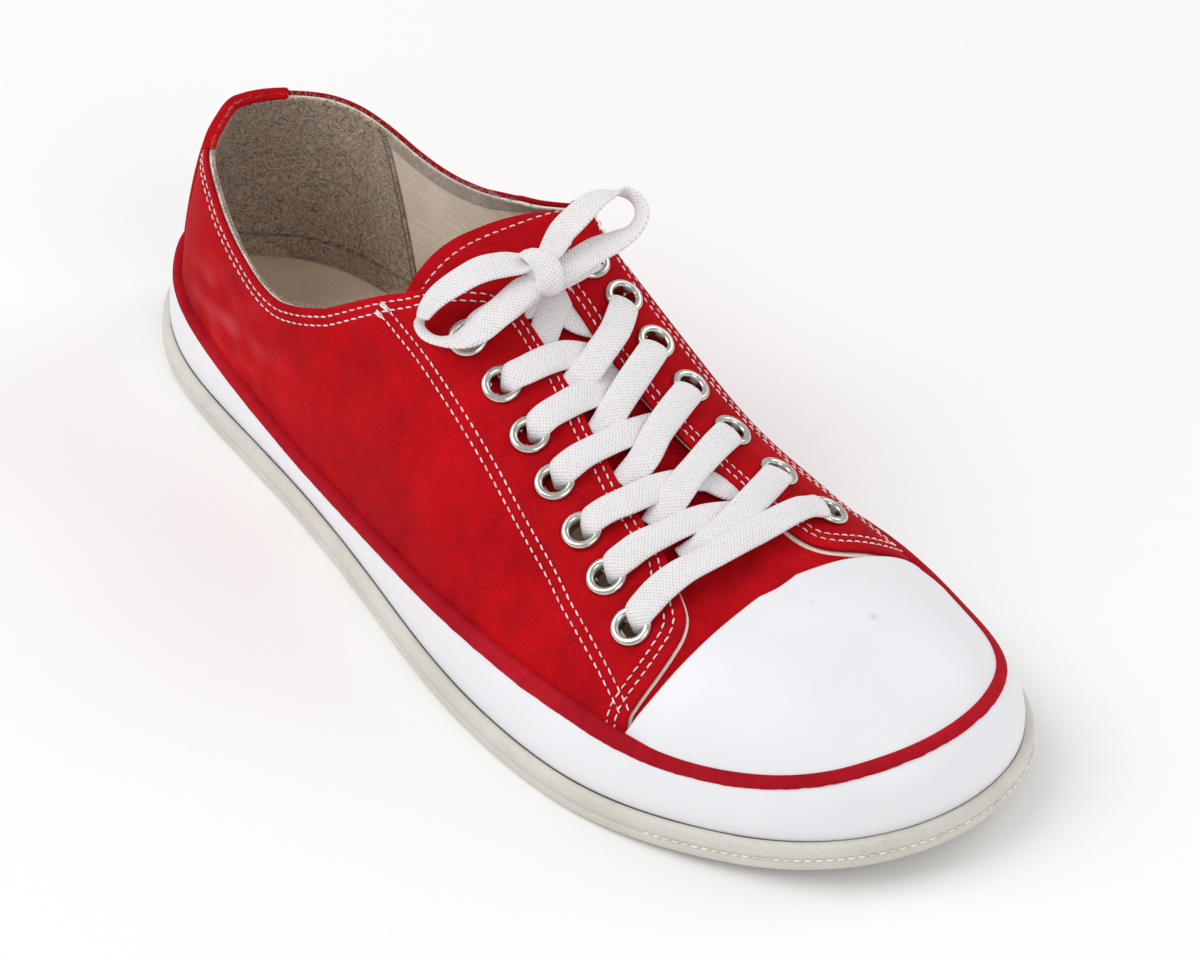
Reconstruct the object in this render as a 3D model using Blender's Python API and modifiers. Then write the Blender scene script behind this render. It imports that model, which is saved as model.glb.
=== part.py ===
"""Barefoot sneaker, right shoe: low leather lace-up with a toe cap, a sewn rand and a thin flat sole.

The shoe stands on its sole at z = 0 with the toe towards -Y, the heel towards +Y, the inner (medial)
side towards +X and the outer (lateral) side towards -X. Tables are in millimetres and count stations
from the back of the sole; everything that Blender receives is in metres.
"""
import math
from collections import namedtuple

import bmesh
import bpy
import numpy as np
from mathutils import Matrix

MM = 0.001

# ---- driving dimensions (mm) ------------------------------------------------------------------
LENGTH = 285.0            # outsole, heel back to toe tip
SOLE_RIM = 7.4            # height of the rubber rim
TOE_SPRING = 7.4          # lift of the outsole under the toe tip
SPRING_FROM = 0.70        # share of the length at which the toe spring starts
ARCH_RISE = 1.2           # how far the waist of the sole clears the ground
UPPER_WALL = 2.0          # nubuck and lining together
UPPER_INSET = 5.0         # sole edge to the upper's outside, at the sole
GAP = 0.3                 # clearance that touching pieces keep
WRAP_GAP = 0.5            # the same round the curved flanks
INSOLE_THICK = 3.0
TONGUE_THICK = 2.2
RAND_PROUD = 1.9          # foxing leather, at the sole
PIPING_THICK = 1.2
CAP_THICK = 1.1
CAP_BACK = 225.5          # back edge of the toe cap
EYELET_OUTER = 9.4
EYELET_HOLE = 5.4
EYELET_WALL = 0.35
LACE_WIDTH = 7.5          # flat lace, over and between the facings
LACE_THICK = 1.5
LACE_LIFT = 0.7           # lace to the facings it lies on
LACE_STEP = 0.8           # strands bound for the medial side lie this much higher
CORD_DIAMETER = 2.4       # the same lace drawn round, where it is free
KNOT_DIAMETER = 7.0
GROOVE_WIDTH = 2.4        # tread
GROOVE_DEPTH = 1.2
GROOVE_INSET = 12.0       # end of a groove to the sole's edge

# ---- the last: one row for each section -----------------------------------------------------------
# station, rim_lateral, rim_medial: sole edge;  top_*: rail that the section climbs to;
# full_lateral, full_medial: 2 is an ellipse, more is fuller at the shoulder
Section = namedtuple("Section", "station rim_lateral rim_medial top_station top_lateral top_medial "
                                "top_z full_lateral full_medial")
SECTIONS = [
    Section(10.0, -11.7, 23.7, 32.4, 0.4, 14.8, 78.0, 1.43, 1.53),
    Section(28.5, -23.0, 35.4, 40.8, -11.0, 23.0, 77.5, 1.64, 1.84),
    Section(57.0, -29.7, 39.4, 62.5, -15.1, 29.6, 76.5, 2.00, 2.45),
    Section(94.0, -35.4, 41.2, 91.5, -7.7, 21.2, 78.5, 1.92, 2.15),
    Section(113.0, -39.2, 42.4, 110.0, 7.9, 7.9, 79.0, 2.00, 3.60),
    Section(131.0, -43.4, 44.2, 126.0, 7.1, 7.1, 74.0, 2.10, 4.60),
    Section(165.0, -51.3, 48.4, 157.0, 5.4, 5.4, 59.3, 2.05, 3.25),
    Section(194.0, -54.5, 52.2, 184.0, 2.6, 2.6, 50.3, 2.00, 2.35),
    Section(219.5, -52.9, 54.3, 205.0, 0.9, 0.9, 45.6, 2.00, 2.15),
    Section(245.0, -44.7, 50.6, 220.0, 0.9, 0.9, 43.2, 2.00, 1.90),
    Section(265.0, -33.2, 42.5, 229.0, 1.4, 1.4, 42.3, 2.00, 2.00),
    Section(278.0, -18.6, 30.4, 233.0, 1.9, 1.9, 42.0, 2.00, 2.00),
]
# the two ends of the outline: station and side of the sole edge, then the rail above it
End = namedtuple("End", "station side top_station top_side top_z full")
HEEL_END = End(0.0, 5.4, 31.2, 6.8, 78.0, 1.50)
TOE_END = End(285.0, 6.5, 234.0, 2.1, 41.9, 2.0)
FLARE = 4.4               # how far the medial corner of the throat stands up and out off the instep
FLARE_AT = 5.6            # its place, counted in sections from the heel

# ---- edges on the last, by station (mm) ------------------------------------------------------------
Collar = namedtuple("Collar", "station lateral_z medial_z")
COLLAR = [
    Collar(-20.0, 70.2, 69.2),
    Collar(25.0, 70.2, 68.2),
    Collar(42.0, 65.8, 66.9),
    Collar(52.0, 58.8, 64.2),
    Collar(62.0, 54.0, 61.4),
    Collar(74.0, 51.4, 60.9),
    Collar(86.0, 54.6, 64.3),
    Collar(100.0, 61.6, 70.9),
    Collar(112.0, 69.2, 76.4),
    Collar(124.0, 77.5, 82.6),
    Collar(150.0, 98.0, 98.0),
]
Throat = namedtuple("Throat", "station lateral medial")
THROAT = [
    Throat(108.0, -15.0, 32.0),
    Throat(112.0, -14.0, 32.0),
    Throat(116.0, -11.6, 31.0),
    Throat(121.0, -8.4, 27.6),
    Throat(126.0, -4.8, 21.3),
    Throat(129.0, -1.0, 18.0),
    Throat(133.0, 1.0, 15.6),
    Throat(138.0, 1.9, 14.2),
    Throat(154.0, 0.1, 12.8),
    Throat(170.0, -4.4, 12.5),
    Throat(186.0, -9.2, 13.1),
    Throat(202.0, -12.9, 14.0),
]
THROAT_END = 208.0        # where the two facings meet the vamp
Rand = namedtuple("Rand", "station low_z width")
RAND = [                  # lower edge of the piping on its outer face, and the piping's width
    Rand(-10.0, 22.0, 2.6),
    Rand(28.0, 21.8, 2.6),
    Rand(43.5, 19.9, 2.6),
    Rand(58.0, 17.5, 2.6),
    Rand(76.0, 15.0, 2.6),
    Rand(95.0, 13.6, 2.7),
    Rand(114.0, 14.5, 2.8),
    Rand(132.0, 16.6, 3.0),
    Rand(149.0, 18.8, 3.2),
    Rand(166.0, 20.4, 3.5),
    Rand(194.0, 21.2, 3.9),
    Rand(210.0, 21.1, 4.0),
    Rand(225.0, 20.4, 3.7),
    Rand(240.0, 20.6, 3.3),
    Rand(253.0, 22.1, 3.1),
    Rand(262.0, 23.7, 3.1),
    Rand(269.0, 25.4, 3.1),
    Rand(275.0, 27.2, 3.1),
    Rand(280.5, 28.6, 3.1),
]
PIPING_OUT = 2.3          # how far outside the last that edge lies

Tongue = namedtuple("Tongue", "station lateral medial")
TONGUE = [
    Tongue(111.6, -20.0, 32.6),
    Tongue(125.0, -20.0, 32.0),
    Tongue(150.0, -19.0, 29.0),
    Tongue(180.0, -20.5, 26.5),
    Tongue(205.0, -18.0, 22.5),
    Tongue(216.0, -14.0, 18.0),
]
# side and station of the eyelets of each facing, from the top
Point = namedtuple("Point", "side station")
LATERAL_EYELETS = [
    Point(-12.4, 134.5), Point(-13.4, 147.4), Point(-15.9, 160.0), Point(-18.9, 172.0),
    Point(-22.2, 185.0), Point(-25.7, 197.3), Point(-29.7, 210.0),
]
MEDIAL_EYELETS = [
    Point(24.0, 135.3), Point(25.7, 145.4), Point(25.1, 157.3), Point(25.0, 169.6),
    Point(25.5, 183.3), Point(27.0, 197.5), Point(29.2, 212.0),
]
GROOVES = (20.0, 31.0, 42.0, 53.0, 152.0, 165.0, 178.0, 191.0, 204.0, 217.0)

# ---- the bow: routes of its cords, side, station, z (mm) -----------------------------------------------
Via = namedtuple("Via", "side station z")
KNOT = [Via(8.4, 133.6, 78.6), Via(8.8, 137.0, 77.2), Via(9.2, 140.4, 75.4)]
LOOP_LATERAL = [
    Via(4.6, 134.2, 79.2), Via(0.2, 132.8, 80.6), Via(-4.6, 131.2, 80.7), Via(-9.1, 129.2, 79.1),
    Via(-12.8, 127.1, 76.3), Via(-16.3, 125.4, 72.6), Via(-18.9, 125.6, 70.2), Via(-20.0, 128.9, 68.9),
    Via(-19.4, 132.8, 69.1), Via(-16.8, 136.4, 70.2), Via(-12.6, 138.4, 71.8), Via(-7.2, 139.0, 74.0),
    Via(-1.6, 138.6, 75.6), Via(4.6, 138.2, 76.8),
]
LOOP_MEDIAL = [
    Via(12.4, 135.6, 79.6), Via(16.0, 135.0, 83.0), Via(19.5, 135.2, 85.4), Via(24.4, 134.8, 86.8),
    Via(30.3, 134.5, 87.0), Via(34.1, 136.4, 86.8), Via(34.6, 140.2, 85.8), Via(33.1, 143.0, 84.0),
    Via(30.2, 143.6, 82.0), Via(26.4, 142.2, 80.4), Via(21.6, 140.8, 79.2), Via(17.0, 140.0, 78.0),
    Via(13.2, 139.6, 76.9),
]
STRAND_LATERAL = [
    Via(-13.2, 135.2, 69.6), Via(-9.0, 136.2, 70.9), Via(-4.0, 136.8, 72.2), Via(0.6, 136.8, 73.2),
    Via(5.4, 136.8, 74.2),
]
STRAND_MEDIAL = [
    Via(26.0, 135.6, 73.7), Via(22.5, 136.6, 73.7), Via(18.6, 137.2, 73.5), Via(12.8, 137.2, 73.8),
]

# ---- fineness -----------------------------------------------------------------------------------
STEPS = 3                 # columns between two sections
LEVELS = 9                # rings from the sole up to the rail
TURN_STEPS = 8            # sides of an eyelet


def new_collection(name, hide):
    """A collection linked to the scene."""
    collection = bpy.data.collections.new(name)
    bpy.context.scene.collection.children.link(collection)
    collection.hide_render = hide
    return collection


def clear_scene():
    """Remove what the start-up file holds."""
    for obj in list(bpy.data.objects):
        bpy.data.objects.remove(obj, do_unlink=True)


# ---- curves ----------------------------------------------------------------------------------------
def periodic_spline(knots, values, period):
    """Closed cubic spline through values at knots, with continuous second derivatives."""
    count = len(knots)
    span = np.diff(np.append(knots, knots[0] + period))
    matrix = np.zeros((count, count))
    right = np.zeros_like(values)
    for i in range(count):
        before, after = span[i - 1], span[i]
        matrix[i, i - 1] += before
        matrix[i, i] += 2.0 * (before + after)
        matrix[i, (i + 1) % count] += after
        rise = (values[(i + 1) % count] - values[i]) / after
        right[i] = 6.0 * (rise - (values[i] - values[i - 1]) / before)
    bend = np.linalg.solve(matrix, right)

    def evaluate(at):
        at = np.asarray(at) % period
        i = np.clip(np.searchsorted(knots, at, side="right") - 1, 0, count - 1)
        j = (i + 1) % count
        width = span[i][:, None]
        b = (at - knots[i])[:, None] / width
        a = 1.0 - b
        curve = ((a ** 3 - a) * bend[i] + (b ** 3 - b) * bend[j]) * width ** 2 / 6.0
        return a * values[i] + b * values[j] + curve

    return evaluate


def smooth(table, column, at):
    """Monotone-slope cubic through one column of a table by station."""
    x = np.array([row.station for row in table])
    y = np.array([getattr(row, column) for row in table])
    slope = np.gradient(y, x)
    at = np.clip(at, x[0], x[-1])
    i = np.clip(np.searchsorted(x, at, side="right") - 1, 0, len(x) - 2)
    width = x[i + 1] - x[i]
    t = (at - x[i]) / width
    return ((2 * t ** 3 - 3 * t ** 2 + 1) * y[i] + (t ** 3 - 2 * t ** 2 + t) * width * slope[i]
            + (3 * t ** 2 - 2 * t ** 3) * y[i + 1] + (t ** 3 - t ** 2) * width * slope[i + 1])


def build_rails():
    """Closed splines for the sole edge and the rail above it, heel - lateral - toe - medial."""
    def end(e):
        return (e.side, e.station, e.top_side, e.top_station, e.top_z, e.full)

    lateral = [(s.rim_lateral, s.station, s.top_lateral, s.top_station, s.top_z, s.full_lateral)
               for s in SECTIONS]
    medial = [(s.rim_medial, s.station, s.top_medial, s.top_station, s.top_z, s.full_medial)
              for s in reversed(SECTIONS)]
    values = np.array([end(HEEL_END)] + lateral + [end(TOE_END)] + medial)
    loop = np.vstack([values, values[:1]])
    lengths = np.linalg.norm(np.diff(loop[:, :2], axis=0), axis=1)
    knots = np.concatenate([[0.0], np.cumsum(lengths)])
    return periodic_spline(knots[:-1], values, knots[-1]), knots


RAILS, KNOTS = build_rails()


def columns(steps=STEPS):
    """Positions round the outline: the same number of steps between sections on both sides."""
    share = np.arange(steps) / steps
    return np.concatenate([a + (b - a) * share for a, b in zip(KNOTS[:-1], KNOTS[1:])])


def toe_spring(station):
    """Lift of the sole's underside at a station."""
    share = np.clip((station / LENGTH - SPRING_FROM) / (1.0 - SPRING_FROM), 0.0, None)
    return TOE_SPRING * share ** 2


def rim(at, inset=0.0):
    """Side and station of the sole's edge, moved inwards along its normal."""
    step = 0.01
    ahead, behind = RAILS(np.asarray(at) + step), RAILS(np.asarray(at) - step)
    run = ahead[:, :2] - behind[:, :2]
    run /= np.linalg.norm(run, axis=1)[:, None]
    outward = np.stack([-run[:, 1], run[:, 0]], axis=1)
    return RAILS(at)[:, :2] - np.reshape(inset, (-1, 1)) * outward


def over(side, station):
    """Column and height of the last's surface above a side and station, by halving the section."""
    side, station = np.broadcast_arrays(np.asarray(side, float), np.asarray(station, float))
    flat_side, flat_station = side.ravel(), station.ravel()
    half = len(SECTIONS) + 1
    order = np.arange(half + 1)
    low, high = np.full(flat_side.shape, 3.0), np.full(flat_side.shape, half - 0.4)
    for _ in range(32):
        index = (low + high) / 2.0
        lateral = np.interp(index, order, KNOTS[:half + 1])
        medial = np.interp(index, order, KNOTS[:half - 1:-1])
        at = np.where(flat_side < RAILS(lateral)[:, 2], lateral, medial)
        base, rail = rim(at, UPPER_INSET), RAILS(at)
        share = np.clip((flat_side - base[:, 0]) / (rail[:, 2] - base[:, 0]), 0.0, 1.0)
        reached = base[:, 1] + (rail[:, 3] - base[:, 1]) * share
        low = np.where(reached < flat_station, index, low)
        high = np.where(reached < flat_station, high, index)
    height = np.arccos((1.0 - share) ** (rail[:, 5] / 2.0)) * 2.0 / math.pi
    return at.reshape(side.shape), height.reshape(side.shape)


def above(side, station, offset):
    """Point of the last's surface over a side and station, moved out by offset."""
    at, height = over(side, station)
    return last_points(at, height, offset)


def last_points(at, height, offset=0.0):
    """The last's surface: at round the outline, height 0 (sole) to 1 (rail), moved out by offset."""
    at, height = np.broadcast_arrays(np.asarray(at, float), np.asarray(height, float))
    shape = at.shape

    def place(a, h):
        rail = RAILS(a)
        base = rim(a, UPPER_INSET)
        base_z = SOLE_RIM + GAP + toe_spring(base[:, 1])
        full = rail[:, 5]
        turn = np.clip(np.cos(h * math.pi / 2.0), 0.0, 1.0) ** (2.0 / full)
        lift = np.sin(h * math.pi / 2.0) ** (2.0 / full)
        plan = base + (rail[:, 2:4] - base) * (1.0 - turn)[:, None]
        half = len(SECTIONS) + 1
        section = np.interp(a % KNOTS[-1], KNOTS[half:], np.arange(half, -1, -1))
        rise = np.sin(math.pi * np.clip((h - 0.3) / 0.7, 0.0, 1.0) ** 1.2) ** 2
        flare = FLARE * np.exp(-((section - FLARE_AT) / 0.5) ** 2) * rise
        return np.column_stack([plan[:, 0] + flare, plan[:, 1],
                                base_z + (rail[:, 4] - base_z) * lift + flare])

    a, h = at.ravel(), height.ravel()
    points = place(a, h)
    if offset:
        small = 0.004
        across = place(a + 0.5, h) - place(a - 0.5, h)
        upward = place(a, np.minimum(h + small, 0.999)) - place(a, np.maximum(h - small, 0.001))
        normal = np.cross(upward, across)
        normal /= np.linalg.norm(normal, axis=1)[:, None]
        points = points + offset * normal
    return points.reshape(shape + (3,))


def height_at(at, target_z, offset=0.0):
    """Height parameter at which each column of the last reaches target_z, by halving."""
    low, high = np.zeros(len(at)), np.full(len(at), 0.98)
    for _ in range(30):
        middle = (low + high) / 2.0
        below = last_points(at, middle, offset)[:, 2] < target_z
        low = np.where(below, middle, low)
        high = np.where(below, high, middle)
    return (low + high) / 2.0


def world(points):
    """Side, station, z in millimetres to the part's frame in metres."""
    points = np.asarray(points, float)
    return np.stack([points[..., 0], LENGTH / 2.0 - points[..., 1], points[..., 2]], axis=-1) * MM


# ---- meshes ----------------------------------------------------------------------------------------
def make_object(name, points, faces, material, collection):
    """Mesh object from points already in metres; its normals are made to face outwards."""
    mesh = bpy.data.meshes.new(name)
    mesh.from_pydata([tuple(p) for p in points], [], faces)
    work = bmesh.new()
    work.from_mesh(mesh)
    bmesh.ops.remove_doubles(work, verts=work.verts, dist=0.00002)
    bmesh.ops.recalc_face_normals(work, faces=work.faces)
    work.to_mesh(mesh)
    work.free()
    obj = bpy.data.objects.new(name, mesh)
    collection.objects.link(obj)
    if material:
        mesh.materials.append(material)
    return obj


def ring_faces(rings, around):
    """Quads between successive closed rings."""
    faces = []
    for level in range(rings - 1):
        for i in range(around):
            j = (i + 1) % around
            faces.append((level * around + i, level * around + j,
                          (level + 1) * around + j, (level + 1) * around + i))
    return faces


def zip_faces(first, around):
    """Close a ring by joining each lateral column to the medial column facing it."""
    half = around // 2
    faces = []
    for i in range(half):
        a, b = first + i, first + i + 1
        c, d = first + (around - i - 1) % around, first + (around - i) % around
        corners = [a, b, c, d]
        corners = [v for k, v in enumerate(corners) if v not in corners[:k]]
        if len(corners) > 2:
            faces.append(tuple(corners))
    return faces


def closed_form(name, rings, material, collection):
    """Solid from a stack of rings (arrays of points in millimetres), zipped shut at both ends."""
    around = len(rings[0])
    faces = ring_faces(len(rings), around)
    faces += zip_faces(0, around)
    faces += zip_faces((len(rings) - 1) * around, around)
    return make_object(name, world(np.vstack(rings)), faces, material, collection)


def band(name, loops, material, collection):
    """Closed belt: each of the loops runs round the shoe, and the last joins the first."""
    around = len(loops[0])
    count = len(loops)
    faces = []
    for level in range(count):
        following = (level + 1) % count
        for i in range(around):
            j = (i + 1) % around
            faces.append((level * around + i, level * around + j,
                          following * around + j, following * around + i))
    return make_object(name, world(np.vstack(loops)), faces, material, collection)


def thick_sheet(name, outer, inner, material, collection, in_metres=False):
    """Solid between two grids of the same size, closed round its border."""
    rows, cols = outer.shape[:2]
    points = np.vstack([outer.reshape(-1, 3), inner.reshape(-1, 3)])
    back = rows * cols
    faces = []
    for r in range(rows - 1):
        for c in range(cols - 1):
            a, b, d, e = r * cols + c, r * cols + c + 1, (r + 1) * cols + c + 1, (r + 1) * cols + c
            faces.append((a, b, d, e))
            faces.append((back + a, back + e, back + d, back + b))
    border = [c for c in range(cols)]
    border += [r * cols + cols - 1 for r in range(1, rows)]
    border += [(rows - 1) * cols + c for c in range(cols - 2, -1, -1)]
    border += [r * cols for r in range(rows - 2, 0, -1)]
    for k, a in enumerate(border):
        b = border[(k + 1) % len(border)]
        faces.append((a, back + a, back + b, b))
    return make_object(name, points if in_metres else world(points), faces, material, collection)


def cut(target, tool, operation):
    """Apply an exact Boolean and drop the tool from the target's stack."""
    modifier = target.modifiers.new(operation.title(), "BOOLEAN")
    modifier.operation = operation
    modifier.solver = "EXACT"
    modifier.object = tool
    with bpy.context.temp_override(object=target, active_object=target):
        bpy.ops.object.modifier_apply(modifier=modifier.name)


def make_material(name, colour, roughness, metallic=0.0):
    """Principled material from an sRGB colour."""
    material = bpy.data.materials.new(name)
    material.use_nodes = True
    shader = material.node_tree.nodes["Principled BSDF"]
    linear = [c / 12.92 if c <= 0.04045 else ((c + 0.055) / 1.055) ** 2.4 for c in colour]
    shader.inputs["Base Color"].default_value = (*linear, 1.0)
    shader.inputs["Roughness"].default_value = roughness
    shader.inputs["Metallic"].default_value = metallic
    return material


# ---- cutters ---------------------------------------------------------------------------------------
def collar_cutter(collection):
    """Everything above the collar line: its underside follows the collar from side to side."""
    stations = np.linspace(COLLAR[0].station, COLLAR[-1].station, 32)
    sides = np.array([-70.0, -12.0, 6.0, 24.0, 70.0])
    share = np.clip((sides + 12.0) / 36.0, 0.0, 1.0)
    lateral = smooth(COLLAR, "lateral_z", stations)[:, None]
    medial = smooth(COLLAR, "medial_z", stations)[:, None]
    under = np.zeros((len(stations), len(sides), 3))
    under[..., 0] = sides
    under[..., 1] = stations[:, None]
    under[..., 2] = lateral + (medial - lateral) * share
    over = under.copy()
    over[..., 2] = 130.0
    return thick_sheet("collar_cutter", under, over, None, collection)


def throat_cutter(collection):
    """Upright prism with the plan of the throat, rounded at its front end."""
    stations = np.linspace(THROAT[0].station, THROAT[-1].station, 19)
    lateral = smooth(THROAT, "lateral", stations)
    medial = smooth(THROAT, "medial", stations)
    turn = np.linspace(0.0, math.pi, 9)[1:-1]
    middle = (lateral[-1] + medial[-1]) / 2.0
    half = (medial[-1] - lateral[-1]) / 2.0
    reach = THROAT_END - stations[-1]
    plan = [(x, s) for x, s in zip(lateral, stations)]
    plan += [(middle - half * math.cos(t), stations[-1] + reach * math.sin(t)) for t in turn]
    plan += [(x, s) for x, s in zip(medial[::-1], stations[::-1])]
    count = len(plan)
    low = [(x, s, 24.0) for x, s in plan]
    high = [(x, s, 130.0) for x, s in plan]
    faces = [tuple(range(count)), tuple(range(2 * count - 1, count - 1, -1))]
    faces += [(i, i + count, (i + 1) % count + count, (i + 1) % count) for i in range(count)]
    return make_object("throat_cutter", world(low + high), faces, None, collection)


# ---- pieces ----------------------------------------------------------------------------------------
def form_rings(offset, floor_z=None):
    """Rings of the last moved out by offset; floor_z adds a skirt that reaches lower."""
    at = columns()
    heights = np.append(np.linspace(0.0, 1.0, LEVELS + 1)[:-1], 0.985)
    rings = [last_points(at, np.full(len(at), h), offset) for h in heights]
    if floor_z is not None:
        skirt = rings[0].copy()
        skirt[:, 2] = floor_z + toe_spring(skirt[:, 1])
        rings.insert(0, skirt)
    return rings


def surface_frame(side, station, offset):
    """Point on the last in metres with its outward normal and a tangent."""
    here = world(above(side, station, offset))
    ahead = world(above(side, station + 0.6, offset))
    outward = world(above(side, station, offset + 1.0)) - here
    outward /= np.linalg.norm(outward)
    tangent = ahead - here
    tangent -= outward * np.dot(tangent, outward)
    tangent /= np.linalg.norm(tangent)
    return here, outward, tangent


def turned(name, profile, place, steps, material, collection):
    """Solid turned by a Screw modifier from a profile of (radius, height) in millimetres.

    A profile that starts and ends on the axis stays open, any other one is closed to a ring.
    """
    mesh = bpy.data.meshes.new(name)
    count = len(profile)
    edges = [(i, (i + 1) % count) for i in range(count)]
    solid = profile[0][0] == 0.0
    if solid:
        edges.pop()
    mesh.from_pydata([(r * MM, 0.0, z * MM) for r, z in profile], edges, [])
    obj = bpy.data.objects.new(name, mesh)
    collection.objects.link(obj)
    screw = obj.modifiers.new("Turn", "SCREW")
    screw.axis = "Z"
    screw.angle = math.tau
    screw.steps = steps
    screw.render_steps = steps
    screw.use_merge_vertices = True
    screw.merge_threshold = 0.00001
    screw.use_normal_calculate = True
    screw.use_normal_flip = solid
    here, outward, tangent = place
    across = np.cross(outward, tangent)
    rows = [[*row] for row in np.column_stack([tangent, across, outward, here])]
    obj.matrix_world = Matrix(rows + [[0.0, 0.0, 0.0, 1.0]])
    if material:
        mesh.materials.append(material)
    return obj


def eyelet_places():
    """Name, side and station of all the eyelets, numbered from the top."""
    places = []
    for side_name, facing in (("lateral", LATERAL_EYELETS), ("medial", MEDIAL_EYELETS)):
        for number, (side, station) in enumerate(facing, 1):
            places.append((f"eyelet_{side_name}_{number}", side, station))
    return places


def build_upper(materials, parts, cutters):
    """Quarters and vamp as one hollow shell, open at collar, throat, eyelets and underneath."""
    upper = closed_form("upper", form_rings(0.0), materials["red_nubuck"], parts)
    core = closed_form("upper_core", form_rings(-UPPER_WALL, SOLE_RIM - 3.0), None, cutters)
    cut(upper, core, "DIFFERENCE")
    cut(upper, collar_cutter(cutters), "DIFFERENCE")
    cut(upper, throat_cutter(cutters), "DIFFERENCE")
    radius = EYELET_HOLE / 2.0 + EYELET_WALL + GAP
    profile = [(0.0, 3.0), (radius, 3.0), (radius, -4.0), (0.0, -4.0)]
    for name, side, station in eyelet_places():
        place = surface_frame(side, station, 0.0)
        punch = turned(name + "_punch", profile, place, TURN_STEPS, None, cutters)
        cut(upper, punch, "DIFFERENCE")
    return upper


def build_eyelets(materials, parts):
    """Rolled metal rings, each with a barrel through its hole."""
    inner, outer = EYELET_HOLE / 2.0, EYELET_OUTER / 2.0
    barrel = inner + EYELET_WALL
    profile = [(inner, -UPPER_WALL), (inner, 0.7), (0.55 * outer + 0.45 * inner, 1.0),
               (outer, 0.1), (barrel, 0.0), (barrel, -UPPER_WALL)]
    for name, side, station in eyelet_places():
        turned(name, profile, surface_frame(side, station, GAP), TURN_STEPS, materials["nickel"], parts)


def build_tongue(materials, parts):
    """Padded flap under the facings, from below the vamp to a rounded top edge."""
    rows = np.linspace(TONGUE[0].station, TONGUE[-1].station, 15)
    across = np.linspace(-1.0, 1.0, 9)
    lateral = smooth(TONGUE, "lateral", rows)[:, None]
    medial = smooth(TONGUE, "medial", rows)[:, None]
    side = (lateral + medial) / 2.0 + (medial - lateral) / 2.0 * across
    corner = 3.5 * np.abs(across) ** 4
    ease = np.clip((140.0 - rows) / 27.0, 0.0, 1.0)[:, None]
    station = rows[:, None] + (corner + 2.4 * across) * ease
    outer = above(side, station, -(UPPER_WALL + WRAP_GAP))
    inner = above(side, station, -(UPPER_WALL + WRAP_GAP + TONGUE_THICK))
    return thick_sheet("tongue", outer, inner, materials["red_nubuck"], parts)


def build_outsole(materials, parts, cutters):
    """Thin rubber sole with a rounded rim, toe spring, a raised waist and cross grooves."""
    at = columns()
    profile = [(2.4, 0.0), (0.8, 0.5), (0.0, 2.2), (0.0, 5.4), (0.7, 6.9), (2.0, SOLE_RIM)]
    rings = []
    for inset, z in profile:
        edge = rim(at, inset)
        station = edge[:, 1]
        waist = np.exp(-((station - 0.42 * LENGTH) / (0.13 * LENGTH)) ** 2)
        raised = ARCH_RISE * waist * (edge[:, 0] > 0.0) if z < SOLE_RIM / 2.0 else 0.0
        rings.append(np.column_stack([edge, z + toe_spring(station) + raised]))
    outsole = closed_form("outsole", rings, materials["rubber"], parts)
    for number, station in enumerate(GROOVES, 1):
        lateral = np.interp(station, [s.station for s in SECTIONS], [s.rim_lateral for s in SECTIONS])
        medial = np.interp(station, [s.station for s in SECTIONS], [s.rim_medial for s in SECTIONS])
        work = bmesh.new()
        bmesh.ops.create_cube(work, size=1.0)
        depth = GROOVE_DEPTH + 10.0
        low = toe_spring(station) + GROOVE_DEPTH - depth / 2.0
        size = (medial - lateral - 2.0 * GROOVE_INSET, GROOVE_WIDTH, depth)
        middle = world(((lateral + medial) / 2.0, station, low))
        for vert in work.verts:
            vert.co = [middle[i] + vert.co[i] * size[i] * MM for i in range(3)]
        mesh = bpy.data.meshes.new(f"groove_{number}")
        work.to_mesh(mesh)
        work.free()
        groove = bpy.data.objects.new(f"groove_{number}", mesh)
        cutters.objects.link(groove)
        cut(outsole, groove, "DIFFERENCE")
    return outsole


def build_insole(materials, parts):
    """Footbed inside the upper, on the sole."""
    at = columns()
    inset = UPPER_INSET + UPPER_WALL + GAP
    low, high = SOLE_RIM + GAP, SOLE_RIM + GAP + INSOLE_THICK
    rings = []
    for extra, z in ((0.5, low), (0.2, low + 0.8), (0.2, high - 0.5), (0.9, high)):
        edge = rim(at, inset + extra)
        rings.append(np.column_stack([edge, z + toe_spring(edge[:, 1])]))
    return closed_form("insole", rings, materials["footbed"], parts)


def build_foxing(materials, parts):
    """White rand that wraps the upper from the sole's rim up to the piping."""
    at = columns()
    top = last_points(at, piping_levels(at)[0], WRAP_GAP)[:, 2] - GAP
    outer, inner = [], []
    for share in (0.0, 0.5, 1.0):
        low = SOLE_RIM + GAP + toe_spring(rim(at, UPPER_INSET)[:, 1])
        level = height_at(at, low + (top - low) * share, WRAP_GAP) if share else np.zeros(len(at))
        proud = RAND_PROUD + 0.5 * math.sin(math.pi * share) - 0.7 * share
        inner.append(last_points(at, level, WRAP_GAP))
        outer.append(last_points(at, level, WRAP_GAP + proud))
    for ring in (inner[0], outer[0]):
        ring[:, 2] = SOLE_RIM + GAP + toe_spring(ring[:, 1])
    return band("foxing", outer + inner[::-1], materials["white_leather"], parts)


def piping_levels(at):
    """Height parameters of the piping's two edges."""
    station = rim(at, UPPER_INSET)[:, 1]
    start = height_at(at, smooth(RAND, "low_z", station), PIPING_OUT)
    width = smooth(RAND, "width", station)
    foot = last_points(at, start)
    stop = start.copy()
    for _ in range(90):
        reach = np.linalg.norm(last_points(at, stop) - foot, axis=1)
        stop = np.where(reach < width, stop + 0.002, stop)
    return start, stop


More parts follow.
